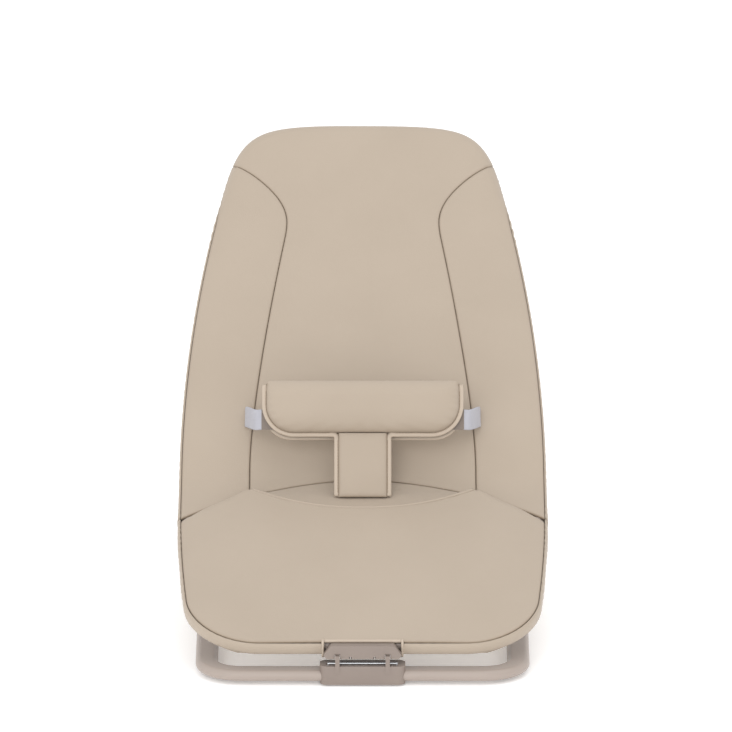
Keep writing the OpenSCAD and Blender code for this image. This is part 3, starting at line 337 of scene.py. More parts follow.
def spaced(points, step):
    """Points along a line at an even spacing."""
    points = np.asarray(points, float)
    run = np.r_[0, np.cumsum(np.linalg.norm(np.diff(points, axis=0), axis=1))]
    at = np.linspace(0, run[-1], max(2, int(round(run[-1] / step)) + 1))
    return np.stack([np.interp(at, run, points[:, k]) for k in range(points.shape[1])], -1)


# The cover's outline from the middle of the front edge up the right side to the middle of the head
turns = np.radians(np.arange(0, 90.1, 3))
head_turns = np.radians(np.r_[0.5, 1, 2, 4, np.arange(6, 89.9, 2)])
head_stations = HEAD_S + HEAD_L * np.sin(head_turns) ** 0.4
front_corner_s = FRONT_S + CORNER_R * (1 - np.cos(turns))
half_outline = spaced(np.vstack([
    [[0, FRONT_S]],
    np.stack([side_w(front_corner_s) - CORNER_R + CORNER_R * np.sin(turns), front_corner_s], -1),
    [[side_w(s), s] for s in np.arange(FRONT_S + CORNER_R + 4, HEAD_S, 4)],
    np.stack([side_w(head_stations) * np.cos(head_turns) ** 0.6, head_stations], -1),
    [[0, TOP_S]]]), 3.0)


def inward(line):
    """Unit normals that point into the cover, for a line that runs up its right side."""
    run = np.gradient(line, axis=0)
    run /= np.linalg.norm(run, axis=1)[:, None]
    return np.stack([-run[:, 1], run[:, 0]], -1)


def head_share(s):
    """0 down the sides, and 1 round the head, where the panel wraps over the tube to its seam."""
    return smooth((np.asarray(s, float) - 672) / 55)


SEAM_IN = 3.9  # how far the edge seam lies inside the cover's outline down the sides
RIM_IN = 0.7  # and round the head
rim_depth = SEAM_IN - (SEAM_IN - RIM_IN) * head_share(half_outline[:, 1])
rim_in = half_outline + inward(half_outline) * rim_depth[:, None]
rim_side = rim_in[(rim_in[:, 0] > 0)]
straight_end = int(np.argmax(rim_side[:, 1] > FRONT_S + SEAM_IN + 0.05))
rim_side = rim_side[max(0, straight_end - 1):]
rim_side = rim_side[np.r_[True, np.diff(np.maximum.accumulate(rim_side[:, 1])) > 1e-4]]
RIM_FRONT_S, RIM_TOP_S = rim_side[0, 1], rim_side[-1, 1]


def rim_w(s):
    """Half width between the edge seams at a station."""
    return np.interp(s, rim_side[:, 1], rim_side[:, 0])


def crease_s(u):
    return CREASE_MID_S - (CREASE_MID_S - CREASE_SIDE_S) * np.abs(u) ** 2


def lens_s(u):
    return KNEE_S + (crease_s(LENS_U) - KNEE_S) * np.minimum(1, np.abs(u) / LENS_U) ** 2.2


def back_seam_w(s):
    """Half width between the back panel's two long seams: it narrows from the crease, then flares out."""
    t = np.asarray(s, float) - LEG_L
    return 97 + 43 * (1 - np.clip((t - 60) / 315, 0, 1) ** 1.35) + 58 * (np.maximum(0, t - 385) / 82) ** 1.8


def back_height(u, s):
    rise = smooth((s - CREASE_MID_S) / 70)
    crown = BACK_CROWN - 2 + (BOLSTER_CROWN - BACK_CROWN) * np.abs(u) ** 3
    return PAD_LOW + 2.5 + rise * crown * (1 - np.abs(u) ** 6)


def leg_height(u, s):
    run = smooth((s - FRONT_S) / (KNEE_S - FRONT_S))
    return PAD_LOW + 2.5 + (1.5 + (KNEE_CROWN - 2.5) * run) * (1 - np.abs(u) ** 6) * (1 - 0.35 * u * u)


def lens_height(u, s):
    near, far = lens_s(u), crease_s(u)
    q = np.clip((s - near) / np.maximum(1, far - near), 0, 1)
    return leg_height(u, near) * (1 - q) + back_height(u, CREASE_MID_S) * q


def distance_to(points, line):
    """Shortest distance from each (x, s) point to a line, in millimetres."""
    flat = points.reshape(-1, 2)
    a, b = line[:-1], line[1:]
    run = b - a
    size = np.maximum((run ** 2).sum(1), 1e-9)
    best = np.full(len(flat), 1e9)
    for i in range(0, len(flat), 2000):
        part = flat[i:i + 2000]
        t = np.clip(((part[:, None] - a) * run).sum(2) / size, 0, 1)
        gap = part[:, None] - (a + t[..., None] * run)
        best[i:i + 2000] = np.sqrt((gap ** 2).sum(2)).min(1)
    return best.reshape(points.shape[:-1])


def rolled(gap, radius):
    """How far a panel's edge has turned down at a distance from its seam."""
    inside = np.clip(gap, 0, radius)
    return radius - np.sqrt(np.maximum(0, radius ** 2 - (radius - inside) ** 2))


def mesh_piece(name, points, faces, material, smooth_shaded=True):
    """A mesh object from points in metres and faces, with one material."""
    data = bpy.data.meshes.new(name)
    data.from_pydata([tuple(p) for p in np.asarray(points).reshape(-1, 3)], [], faces)
    shell = bmesh.new()
    shell.from_mesh(data)
    bmesh.ops.recalc_face_normals(shell, faces=shell.faces)
    shell.to_mesh(data)
    shell.free()
    data.update()
    data.polygons.foreach_set("use_smooth", [smooth_shaded] * len(data.polygons))
    data.materials.append(material)
    made = bpy.data.objects.new(name, data)
    bpy.context.scene.collection.objects.link(made)
    return made


def slab_piece(name, over, under, material):
    """A closed slab between two grids of points in metres."""
    rows, columns = over.shape[:2]
    count = rows * columns
    ids = np.arange(count).reshape(rows, columns)
    quads = np.stack([ids[:-1, :-1], ids[:-1, 1:], ids[1:, 1:], ids[1:, :-1]], -1).reshape(-1, 4)
    ring = np.r_[ids[0], ids[1:, -1], ids[-1, -2::-1], ids[-2:0:-1, 0]]
    after = np.roll(ring, -1)
    walls = np.stack([ring, ring + count, after + count, after], -1)
    faces = quads.tolist() + (quads[:, ::-1] + count).tolist() + walls.tolist()
    return mesh_piece(name, np.vstack([over.reshape(-1, 3), under.reshape(-1, 3)]), faces, material)


def seam_values(object_, values):
    """Stores how close each point is to a seam, where the material paints a little shade."""
    layer = object_.data.attributes.new("seam", "FLOAT", "POINT")
    layer.data.foreach_set("value", np.asarray(values, np.float32).ravel())


def waviness(x, s, size, reach, seed):
    """Slow uneven noise over the cover, of the given height and reach in millimetres."""
    flat = np.stack([np.ravel(x), np.ravel(s)], -1) / reach
    return size * np.array([noise.noise(Vector((a, b, seed))) for a, b in flat]).reshape(np.shape(x))


SKIN_T = 2.0  # thickness of the panel where it wraps the tube
EDGE_R, EDGE_DROP, WRAP_R = 2.8, 1.7, 12.5
PUCKER_MM = 11.0  # length of one pucker along a seam


def padded_panel(name, node, x, s, h, sewn_edges, seed):
    """A closed padded panel from grids of x, s and crown height. Its edges roll down into their seams."""
    points = np.stack([x, s], -1)
    sides = {"front": points[0], "back": points[-1], "left": points[:, 0], "right": points[:, -1]}
    gap = np.full(x.shape, 1e9)
    for side in sewn_edges:
        gap = np.minimum(gap, distance_to(points, sides[side]))
    drop = np.minimum(EDGE_DROP, rolled(gap, EDGE_R) * EDGE_DROP / EDGE_R)
    mirrored_outline = np.vstack([half_outline, half_outline[::-1] * (-1, 1)])
    rim_gap = distance_to(points, mirrored_outline)
    at_head = head_share(s)
    edge_gap = np.maximum(0, rim_gap - SEAM_IN + (SEAM_IN - RIM_IN) * at_head)
    side_drop = np.minimum(EDGE_DROP, rolled(edge_gap, EDGE_R) * EDGE_DROP / EDGE_R)
    drop = np.maximum(drop, side_drop * (1 - at_head) + at_head * rolled(rim_gap, WRAP_R))
    near = np.minimum(gap, edge_gap)
    pucker = np.sin((x * 0.8 + s) * 2 * math.pi / PUCKER_MM + 2.2 * np.sin((x - s) / 37.0 + seed))
    h = h - drop + 0.22 * pucker * np.exp(-((near - 7) / 6) ** 2) + waviness(x, s, 0.9, 95.0, seed)
    low = np.minimum(PAD_LOW, h - SKIN_T)
    made = slab_piece(name, seat_point(x, s, h), seat_point(x, s, low), leathercloth)
    # closeness to the seams, where the leathercloth paints a little shade
    seam_values(made, np.tile(np.exp(-near.ravel() / 0.85), 2))
    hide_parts(node)
    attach(made, "seat")
    return made


# Polyurethane leathercloth: a knitted backing with a matt embossed coat
GRAIN_MM = 1.3  # size of one pebble of the emboss, drawn about twice as coarse so that it shows
leathercloth, tree, place = new_material("embossed_leathercloth")
# The emboss scatters light, so the coat looks matt and even, with a soft sheen on its crowns.
# Its colour is painted a little darker down in the seams, as painted shade, and drifts slightly over the
# hide.
pebble = add_node(tree, "ShaderNodeTexVoronoi", settings={"feature": "SMOOTH_F1"}, sockets={
    "Scale": 1 / (GRAIN_MM * MM), "Smoothness": 0.6}, links={"Vector": (place, "Object")})
fold = add_node(tree, "ShaderNodeTexNoise", sockets={"Scale": 1 / (9.0 * MM), "Detail": 3.0},
                links={"Vector": (place, "Object")})
drift = add_node(tree, "ShaderNodeTexNoise", sockets={"Scale": 11.0, "Detail": 4.0},
                 links={"Vector": (place, "Object")})
seam = add_node(tree, "ShaderNodeAttribute", settings={"attribute_name": "seam"})
tone = add_node(tree, "ShaderNodeMix", settings={"data_type": "RGBA"}, sockets={
    6: linear("#AB9D8D"), 7: linear("#B2A494")}, links={"Factor": (drift, "Fac")})
# Painted shade: the colour darkens towards #928270 near the seams
seam_shade = add_node(tree, "ShaderNodeMix", settings={"data_type": "RGBA"}, sockets={7: linear("#928270")},
                links={"Factor": (seam, "Fac"), 6: (tone, 2)})
gloss = add_node(tree, "ShaderNodeMapRange", sockets={"To Min": 0.5, "To Max": 0.62},
                 links={"Value": (fold, "Fac")})
height = add_node(tree, "ShaderNodeMath", settings={"operation": "MULTIPLY_ADD"}, sockets={1: 0.5}, links={
    0: (fold, "Fac"), 2: (pebble, "Distance")})
relief = add_node(tree, "ShaderNodeBump", sockets={"Strength": 0.22, "Distance": 0.00035},
                  links={"Height": (height, "Value")})
finish_material(tree, add_node(tree, "ShaderNodeBsdfPrincipled", sockets={
    "IOR": 1.46, "Specular IOR Level": 0.35, "Sheen Weight": 0.12, "Sheen Roughness": 0.5}, links={
    "Base Color": (seam_shade, 2), "Roughness": (gloss, "Result"), "Normal": (relief, "Normal")}))

SEAM_GAP = 0.4
EDGE_STEPS = np.array([0, 0.6, 1.3, 2.2, 3.4, 5.2, 7.5])


def across(length, step):
    """Places from 0 to 1 over a length in millimetres, close together at both ends."""
    middle = np.linspace(EDGE_STEPS[-1] + step, length - EDGE_STEPS[-1] - step,
                         max(2, int((length - 2 * EDGE_STEPS[-1]) / step)))
    return np.r_[EDGE_STEPS, middle, length - EDGE_STEPS[::-1]] / length


# Leg panel, from the front edge up to the lens and the crease
FRONT_EASE = 2.4  # how much lower the panel is pulled along the front edge
b = across(235, 5.0)[:, None]
u = (2 * across(400, 5.5) - 1)[None, :]
far = np.where(np.abs(u) < LENS_U, lens_s(u), crease_s(u)) - SEAM_GAP
s = RIM_FRONT_S + (far - RIM_FRONT_S) * b
leg_top = leg_height(u, s) - FRONT_EASE * (1 - smooth((s - FRONT_S) / 70))
leg_top -= 0.6 * rolled(far - s, 14) * smooth((np.abs(u) - LENS_U - 0.02) / 0.12)
padded_panel("leg_cushion", "leg_panel", u * rim_w(s), s, leg_top, ("back",), 1.0)

# Lens-shaped seat panel, under the crotch pad
b = across(72, 4.5)[:, None]
u = 0.985 * LENS_U * (2 * across(265, 5.0) - 1)[None, :]
s = lens_s(u) + SEAM_GAP + (crease_s(u) - lens_s(u) - 2 * SEAM_GAP) * b
padded_panel("seat_lens", "seat_bottom_panel", u * rim_w(s), s, lens_height(u, s),
             ("front", "back", "left", "right"), 2.0)


def back_share(b):
    """Share of the half width where the long seam lies, which reaches the edge at the shoulders."""
    at = CREASE_MID_S + (RIM_TOP_S - CREASE_MID_S) * b
    eased = np.mean([back_seam_w(at + step) for step in (-12, -6, 0, 6, 12)], axis=0)
    return np.minimum(1, eased / rim_w(at))


def back_grid(u, b):
    s = crease_s(u) + SEAM_GAP + (RIM_TOP_S - crease_s(u) - SEAM_GAP) * b
    x = u * rim_w(s)
    crown = back_height(np.clip(x / side_w(s), -1, 1), s) - PAD_LOW - 2.5
    return x, s, PAD_LOW + 2.5 + crown * (1 - np.clip((s - HEAD_S) / HEAD_L, 0, 1) ** 8)


# Back panel with the head, then the two bolsters
SHOULDER_B = float(np.interp(0.9995, back_share(np.linspace(0.7, 0.95, 200)), np.linspace(0.7, 0.95, 200)))
head_sweep = np.sin(np.radians([36, 40, 44, 48, 52, 56, 60, 64, 67, 70, 73, 76, 79, 82, 84.5, 86.5,
                                88])) ** 0.4
head_rows = (HEAD_S + (RIM_TOP_S - HEAD_S) * head_sweep - CREASE_MID_S) / (RIM_TOP_S - CREASE_MID_S)
low_rows = across(560, 5.0)
low_rows = low_rows[low_rows < head_rows[0] - 0.004]
b = np.r_[low_rows, head_rows][:, None]
u = (2 * across(230, 5.0) - 1)[None, :] * (back_share(b) - SEAM_GAP / SEAT_W * (b < SHOULDER_B))
padded_panel("back_cushion", "back_panel", *back_grid(u, b), ("front", "left", "right"), 3.0)
b = np.r_[low_rows[low_rows < SHOULDER_B - 0.004], SHOULDER_B][:, None]
for name, node, side in (("bolster_cushion_left", "bolster_left", -1),
                         ("bolster_cushion_right", "bolster_right", 1)):
    inner = back_share(b) + SEAM_GAP / SEAT_W
    u = side * (inner + (1 - inner) * across(70, 4.5)[None, :])
    x, s, h = back_grid(u[:, ::side], b)
    padded_panel(name, node, x, s, h, ("front", "right" if side < 0 else "left"), 4.0 + side)

# ---------------------------------------------------------------- edge bands
# Strips of the same leathercloth that wrap the frame tube all round the cover. They are eased onto
# the bends, so they pucker a little there. The leg band stops in bound ends at the hub's cut-out.
# Profile across the band: how far in from the outline, and how high above the frame's plane
BAND_SIDE = np.array([
    (3.7, 7.4), (3.4, 8.8), (2.6, 9.8), (1.4, 9.0), (0.5, 6.8), (0.1, 3.6), (0, 0), (0, -3.4), (0.5, -5.8),
    (1.9, -7.6), (4.2, -8.6), (8, -9.2), (14, -9.5), (14, -8.5), (8, -8.3), (4.6, -7.5), (2.8, -6.4),
    (1.9, -4.8), (1.6, -2), (1.6, 2.5), (1.8, 6.2), (2.6, 8.0)])
BAND_HEAD = np.array([
    (1.6, -1.4), (1.3, -0.8), (0.9, -0.5), (0.5, -0.7), (0.2, -1.2), (0, -2), (0, -3), (0, -4.2), (0.5, -5.8),
    (1.9, -7.6), (4.2, -8.6), (8, -9.2), (14, -9.5), (14, -8.5), (8, -8.3), (4.6, -7.5), (2.8, -6.4),
    (1.9, -4.8), (1.7, -4), (1.6, -3), (1.6, -2.2), (1.6, -1.8)])
BAND_LOOSE = np.array([0, 0.3, 0.7, 1, 1, 1, 1, 1, 0.8, 0.5, 0.2, 0, 0, 0, 0, 0, 0, 0, 0, 0, 0, 0])
HUB_HALF = 46.5  # half width of the hub's cut-out


def skin_over(rings, first=0):
    """Points and faces of a closed skin over rings of equal length, with its two ends capped."""
    count, size = rings.shape[:2]
    ids = first + np.arange(count * size).reshape(count, size)
    after = np.roll(ids, -1, axis=1)
    faces = np.stack([ids[:-1], after[:-1], after[1:], ids[1:]], -1).reshape(-1, 4).tolist()
    return rings.reshape(-1, 3), faces + [ids[0][::-1].tolist(), ids[-1].tolist()]


def joined(parts):
    """One list of points and one of faces from several closed skins."""
    points, faces, first = [], [], 0
    for rings in parts:
        some, more = skin_over(rings, first)
        points.append(some)
        faces += more
        first += len(some)
    return np.vstack(points), faces


def band_rings(line, seed):
    """The band's profile at each point of a line that runs up the cover's right side."""
    normal = inward(line)
    share = head_share(line[:, 1])[:, None, None]
    profile = BAND_SIDE * (1 - share) + BAND_HEAD * share
    run = np.r_[0, np.cumsum(np.linalg.norm(np.diff(line, axis=0), axis=1))]
    leg_bend = smooth((line[:, 1] - 70) / 40) * smooth((280 - line[:, 1]) / 40)
    head_bend = smooth((line[:, 1] - 640) / 40) * smooth((775 - line[:, 1]) / 25)
    size = 0.2 + 0.75 * (leg_bend + head_bend)
    beat = np.sin(run * 2 * math.pi / 12 + 2.5 * np.sin(run / 31 + seed))
    ripple = size * beat * (0.6 + 0.4 * np.sin(run / 17 + seed))
    depth = profile[:, :, 0] - ripple[:, None] * BAND_LOOSE
    spot = line[:, None, :] + normal[:, None, :] * depth[..., None]
    lower = FRONT_EASE * (1 - smooth((line[:, 1] - FRONT_S) / 70))[:, None] * smooth(profile[:, :, 1] / 6)
    return seat_point(spot[..., 0], spot[..., 1], profile[:, :, 1] - lower)


def cover_piece(name, node, parts, material, seam_share=0.0):
    points, faces = joined(parts)
    made = mesh_piece(name, points, faces, material)
    seam_values(made, np.full(len(points), seam_share))
    if node:
        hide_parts(node)
    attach(made, "seat")
    return made


LEFT = np.array([-1.0, 1.0])
leg_line = half_outline[(half_outline[:, 0] >= HUB_HALF) & (half_outline[:, 1] <= CREASE_SIDE_S - 0.3)]
leg_line = np.vstack([[[HUB_HALF, FRONT_S]], leg_line[leg_line[:, 0] > HUB_HALF + 1]])
leg_rings = band_rings(leg_line, 1.0)
cover_piece("leg_edge_band", "leg_band", [leg_rings, leg_rings * (-1, 1, 1)], leathercloth)
back_line = half_outline[half_outline[:, 1] >= CREASE_SIDE_S + 0.3]
back_line = np.vstack([back_line, back_line[-2::-1] * LEFT])
cover_piece("back_edge_band", "back_band", [band_rings(back_line, 2.0)], leathercloth)


def cord_rings(path, radii, sides=10, up=(0, 0, 1)):
    """Rings for a round or flattened bead along a path in metres; radii are (wide, high) in millimetres."""
    path = np.asarray(path, float)
    along = np.gradient(path, axis=0)
    along /= np.linalg.norm(along, axis=1)[:, None]
    high = np.broadcast_to(np.asarray(up, float), path.shape)
    high = high - along * (high * along).sum(1)[:, None]
    high /= np.linalg.norm(high, axis=1)[:, None]
    wide = np.cross(along, high)
    wide_r, high_r = (np.asarray(r, float) * MM for r in radii)
    turn = np.linspace(0, 2 * math.pi, sides, endpoint=False)
    return (path[:, None] + wide[:, None] * np.cos(turn)[None, :, None] * wide_r
            + high[:, None] * np.sin(turn)[None, :, None] * high_r)


# Bindings: a folded strip of smoother leathercloth over each raw edge
BINDING_GRAIN_MM = 0.8
binding_cloth, tree, place = new_material("binding_leathercloth_painted_highlight")
# The strip is pulled tight round the edge, so its emboss is flatter and a little glossier. Its colour is
# painted lighter than the cover's, a painted highlight along each bound edge.
pebble = add_node(tree, "ShaderNodeTexVoronoi", settings={"feature": "SMOOTH_F1"}, sockets={
    "Scale": 1 / (BINDING_GRAIN_MM * MM), "Smoothness": 0.7}, links={"Vector": (place, "Object")})
drift = add_node(tree, "ShaderNodeTexNoise", sockets={"Scale": 30.0, "Detail": 3.0},
                 links={"Vector": (place, "Object")})
# Painted highlight: these tones are lighter than the cover's
tone = add_node(tree, "ShaderNodeMix", settings={"data_type": "RGBA"}, sockets={
    6: linear("#B9AB9A"), 7: linear("#C0B1A1")}, links={"Factor": (drift, "Fac")})
relief = add_node(tree, "ShaderNodeBump", sockets={"Strength": 0.12, "Distance": 0.0002},
                  links={"Height": (pebble, "Distance")})
finish_material(tree, add_node(tree, "ShaderNodeBsdfPrincipled", sockets={
    "IOR": 1.46, "Roughness": 0.46, "Specular IOR Level": 0.4}, links={
    "Base Color": (tone, 2), "Normal": (relief, "Normal")}))

# Bound edges of the hub's cut-out: up each band end and across the top, under the leg panel
UP_SEAT = (0, -math.sin(LEG_ANGLE), math.cos(LEG_ANGLE))
edge_profile = np.array([(6.0, 8.6), (4.4, 10.6), (1.6, 10.2), (0.0, 7.6), (-0.6, 3.5), (-0.6, -3.5),
                         (0.4, -8.5), (3.0, -11)])
end_paths = []
for side in (-1, 1):
    line = spaced(edge_profile, 1.5)
    end_paths.append(cord_rings(seat_point(side * (HUB_HALF - 0.6), FRONT_S + line[:, 0], line[:, 1]),
                                (1.9, 1.6), up=(1, 0, 0)))
hem = cord_rings(seat_point(np.linspace(-HUB_HALF + 1, HUB_HALF - 1, 40), FRONT_S + 5.2, 9.0), (2.2, 1.7),
                 up=UP_SEAT)
cover_piece("hub_cutout_binding", None, end_paths + [hem], binding_cloth)

# Piping ridge round the front of the lens panel
share = np.linspace(-0.98 * LENS_U, 0.98 * LENS_U, 90)
lens_line = lens_s(share)
ridge = seat_point(share * rim_w(lens_line), lens_line, leg_height(share, lens_line) - 0.6)
cover_piece("lens_piping", None, [cord_rings(ridge, (2.2, 1.6), up=UP_SEAT)], leathercloth)

# ---------------------------------------------------------------- rear lining
# Warp-knit polyester lining across the back of the frame, sewn to the bands and stretched flat. It
# is cut away at the hub, at the two posts of the recline track and at the slots for the webbing.
KNIT_MM = 2.4  # pitch of one rib, drawn about twice as coarse so that it shows
lining_knit, tree, place = new_material("polyester_lining_knit")
# Ribs run up the cloth, so it looks matt with a faint stripe and a soft fuzz at grazing angles
rib = add_node(tree, "ShaderNodeTexWave", settings={"wave_type": "BANDS", "bands_direction": "X"}, sockets={
    "Scale": 1 / (KNIT_MM * MM) / 6.283, "Distortion": 0.4, "Detail": 1.0},
    links={"Vector": (place, "Object")})
drift = add_node(tree, "ShaderNodeTexNoise", sockets={"Scale": 35.0, "Detail": 4.0},
                 links={"Vector": (place, "Object")})
tone = add_node(tree, "ShaderNodeMix", settings={"data_type": "RGBA"}, sockets={
    6: linear("#A99A8A"), 7: linear("#B5A695")}, links={"Factor": (drift, "Fac")})
relief = add_node(tree, "ShaderNodeBump", sockets={"Strength": 0.35, "Distance": 0.0004},
                  links={"Height": (rib, "Fac")})
finish_material(tree, add_node(tree, "ShaderNodeBsdfPrincipled", sockets={
    "Roughness": 0.88, "Sheen Weight": 0.3, "Sheen Roughness": 0.5, "Specular IOR Level": 0.2}, links={
    "Base Color": (tone, 2), "Normal": (relief, "Normal")}))

LINING_IN, LINING_TOP, LINING_LOW = 6.0, -8.4, -9.2
SLOT_X, SLOT_T, WEBBING_W, WEBBING_T = 144.0, 95.0, 25.0, 1.6
POST_T, POST_HALF_X, POST_HALF_T = (163.0, 438.5), 9.0, 11.5


def cut_away(piece, boxes):
    """Cuts box-shaped openings, given as (x, s) ranges on the seat, through a piece."""
    for low_x, high_x, low_s, high_s in boxes:
        corners = seat_point([low_x, high_x, high_x, low_x] * 2, [low_s, low_s, high_s, high_s] * 2,
                             [-24.0] * 4 + [4.0] * 4)
        cutter = mesh_piece("cutter", corners, [(0, 3, 2, 1), (4, 5, 6, 7), (0, 1, 5, 4), (1, 2, 6, 5),
                                                (2, 3, 7, 6),
                                                (3, 0, 4, 7)], lining_knit, False)
        opening = piece.modifiers.new("opening", "BOOLEAN")
        opening.operation = "DIFFERENCE"
        opening.solver = "EXACT"
        opening.object = cutter
        bpy.context.view_layer.update()
        cut = bpy.data.meshes.new_from_object(piece.evaluated_get(bpy.context.evaluated_depsgraph_get()))
        piece.modifiers.clear()
        piece.data = cut
        bpy.data.objects.remove(cutter)


def lining(name, node, stations, boxes, seed):
    s = np.asarray(stations, float)[:, None]
    u = np.linspace(-1, 1, 61)[None, :]
    reach = np.interp(s, half_outline[:-1, 1], half_outline[:-1, 0]) - LINING_IN
    x = u * reach
    s = s + 0 * x
    sag = -1.2 * (1 - u * u) * np.ones_like(s) + waviness(x, s, 0.6, 60.0, seed)
    top, low = seat_point(x, s, LINING_TOP + sag), seat_point(x, s, LINING_LOW + sag)
    made = slab_piece(name, top, low, lining_knit)
    cut_away(made, boxes)
    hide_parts(node)
    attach(made, "seat")
    return made


lining("leg_lining", "leg_rear_cloth", np.r_[FRONT_S + 6 + 74 * (1 - np.cos(np.radians(np.arange(0, 91, 9)))),
                                             np.linspace(74, LEG_L - 32, 30)],
       [(-HUB_HALF - 10, HUB_HALF + 10, FRONT_S - 4, 66)], 6.0)
lining("back_lining", "back_rear_cloth", np.r_[np.linspace(LEG_L - 31.6, HEAD_S, 70),
                                               HEAD_S + (HEAD_L - 6) * np.sqrt(np.sin(np.radians([3, 7, 12,
                                                   18, 25, 33, 42, 52, 62, 72, 80, 85])))],
       [(-POST_HALF_X, POST_HALF_X, LEG_L + t - POST_HALF_T, LEG_L + t + POST_HALF_T) for t in POST_T]
       + [(side * SLOT_X - 3, side * SLOT_X + 3, LEG_L + SLOT_T - 15, LEG_L + SLOT_T + 15) for side in (-1,
           1)], 7.0)

# ---------------------------------------------------------------- waist pad, its rear flap and crotch pad
# One sewn T-shaped restraint in leathercloth. The waist pad is a foam-filled roll with a flap behind
# it that makes the buckle's tunnel. The crotch pad runs down to the crease. Raw edges are bound.
PAD_Y, PAD_Z, PAD_TILT = -37.81, 260.01, math.radians(16.6)  # middle of the waist pad, and its lean
PAD_W, PAD_H, PAD_TOP_R, PAD_LOW_R = 237.0, 63.6, 7.0, 34.0  # the roll, without its binding
PAD_TOP_Z = 33.0  # its top edge above the middle
PAD_BACK, PAD_BULGE = 3.0, 17.0
FLAP_W, FLAP_H, FLAP_Y = PAD_W + 4, PAD_H + 5, 13.7
CROTCH_W, CROTCH_T, CROTCH_FOOT = 70.0, 9.0, np.array([-67.24, 159.25])
PAD_UP = np.array([math.sin(PAD_TILT), math.cos(PAD_TILT)])
PAD_REAR = (0, math.cos(PAD_TILT), -math.sin(PAD_TILT))
crotch_run = np.array([PAD_Y, PAD_Z]) - PAD_TOP_Z * PAD_UP - CROTCH_FOOT
CROTCH_L = float(np.linalg.norm(crotch_run))
crotch_run /= CROTCH_L


def pad_point(x, y, z):
    """Row-frame points from x across the pad, y behind its plane and z above its middle, in millimetres."""
    x, y, z = np.broadcast_arrays(*(np.asarray(v, float) for v in (x, y, z)))
    return MM * np.stack([x, PAD_Y + y * math.cos(PAD_TILT) + z * PAD_UP[0],
                          PAD_Z - y * math.sin(PAD_TILT) + z * PAD_UP[1]], -1)


def crotch_point(x, y, w):
    """Row-frame points from x across the crotch pad, y behind its plane and w up from its foot."""
    x, y, w = np.broadcast_arrays(*(np.asarray(v, float) for v in (x, y, w)))
    return MM * np.stack([x, CROTCH_FOOT[0] + w * crotch_run[0] + y * crotch_run[1],
                          CROTCH_FOOT[1] + w * crotch_run[1] - y * crotch_run[0]], -1)


def pad_half(down, w, h):
    """Half width of a pad's outline at a depth below its top edge."""
    top = np.maximum(0, PAD_TOP_R - down)
    low = np.maximum(0, down - h + PAD_LOW_R)
    top_in = PAD_TOP_R - np.sqrt(PAD_TOP_R ** 2 - top ** 2)
    low_in = PAD_LOW_R - np.sqrt(np.maximum(0, PAD_LOW_R ** 2 - low ** 2))
    return w / 2 - top_in - low_in


def pad_edge(w, h, out=0.0):
    """Left half of a pad's bound edge, from its top corner down to the middle of its lower edge."""
    turn = np.radians(np.arange(0, 91, 4))
    low_r = PAD_LOW_R + out
    corner = np.stack([-w / 2 + PAD_LOW_R - low_r * np.cos(turn), -h + PAD_LOW_R - low_r * np.sin(turn)], -1)
    return spaced(np.vstack([[[-w / 2 - out + 0.6, -5.0], [-w / 2 - out, -9.0]], corner, [[0, -h - out]]]),
                  2.0)


def closed_pad(name, node, front, back, material, seam_values_front):
    """A closed cushion from front and back grids of points."""
    made = slab_piece(name, front, back, material)
    # closeness to the bound edges, where the leathercloth paints a little shade
    seam_values(made, np.tile(np.ravel(seam_values_front), 2))
    if node:
        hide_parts(node)
    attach(made, "restraint")
    return made


def round_rise(q):
    """Rises from 0 to 1 as a quarter circle."""
    return np.sqrt(np.maximum(0, 1 - (1 - np.clip(q, 0, 1)) ** 2))


def ends_dense(length, step):
    return across(length, step) * length


# The waist pad's roll: full at the top where the leathercloth folds over, pinched where it is bound
down = ends_dense(PAD_H, 2.2)[:, None]
u = (2 * across(PAD_W, 2.6) - 1)[None, :]
x = u * pad_half(down, PAD_W, PAD_H)
down = down + 0 * x
edge = pad_edge(PAD_W, PAD_H)
edge_gap = distance_to(np.stack([x, -down], -1), np.vstack([edge, edge[::-1] * (-1, 1)]))
along_edge = np.arctan2(-down + 20, x * 0.35) * 60
beat = np.sin(along_edge * 2 * math.pi / 13 + 1.5 * np.sin(along_edge / 23))
pucker = beat * np.exp(-((edge_gap - 5) / 5) ** 2)
bulge = PAD_BULGE * round_rise(edge_gap / 30) ** 0.85 * round_rise((down + 0.8) / 19) ** 0.9
slack = waviness(x, down, 1.3, 42.0, 12.0) * smooth(edge_gap / 18) * smooth(down / 18)
front_y = 0.6 - bulge - 0.5 * pucker * smooth(down / 12) - slack
front = pad_point(x, front_y, PAD_TOP_Z - down)
back = pad_point(x, np.maximum(PAD_BACK - 1.2 * (1 - round_rise(down / 8)), front_y + 1.2), PAD_TOP_Z - down)
closed_pad("waist_roll", "waist_pad", front, back, leathercloth, np.exp(-edge_gap / 1.4))

# The flap behind it, whose top curls forward to the roll
down = ends_dense(FLAP_H, 3.2)[:, None]
u = (2 * across(FLAP_W, 5.0) - 1)[None, :]
x = u * pad_half(down, FLAP_W, FLAP_H)
down = down + 0 * x
curl = FLAP_Y - 6.5 * (1 - round_rise(down / 11))
flap_edge = pad_edge(FLAP_W, FLAP_H)
flap_gap = distance_to(np.stack([x, -down], -1), np.vstack([flap_edge, flap_edge[::-1] * (-1, 1)]))
thick = 1.0 + 0.9 * round_rise(flap_gap / 7)
sway = waviness(x, down, 0.8, 50.0, 14.0)
closed_pad("waist_flap", "waist_rear_flap", pad_point(x, curl - 0.9 + sway * 0.3, PAD_TOP_Z - down - 0.6),
           pad_point(x, curl + thick + sway * 0.5, PAD_TOP_Z - down - 0.6), leathercloth,
           np.exp(-flap_gap / 1.4))

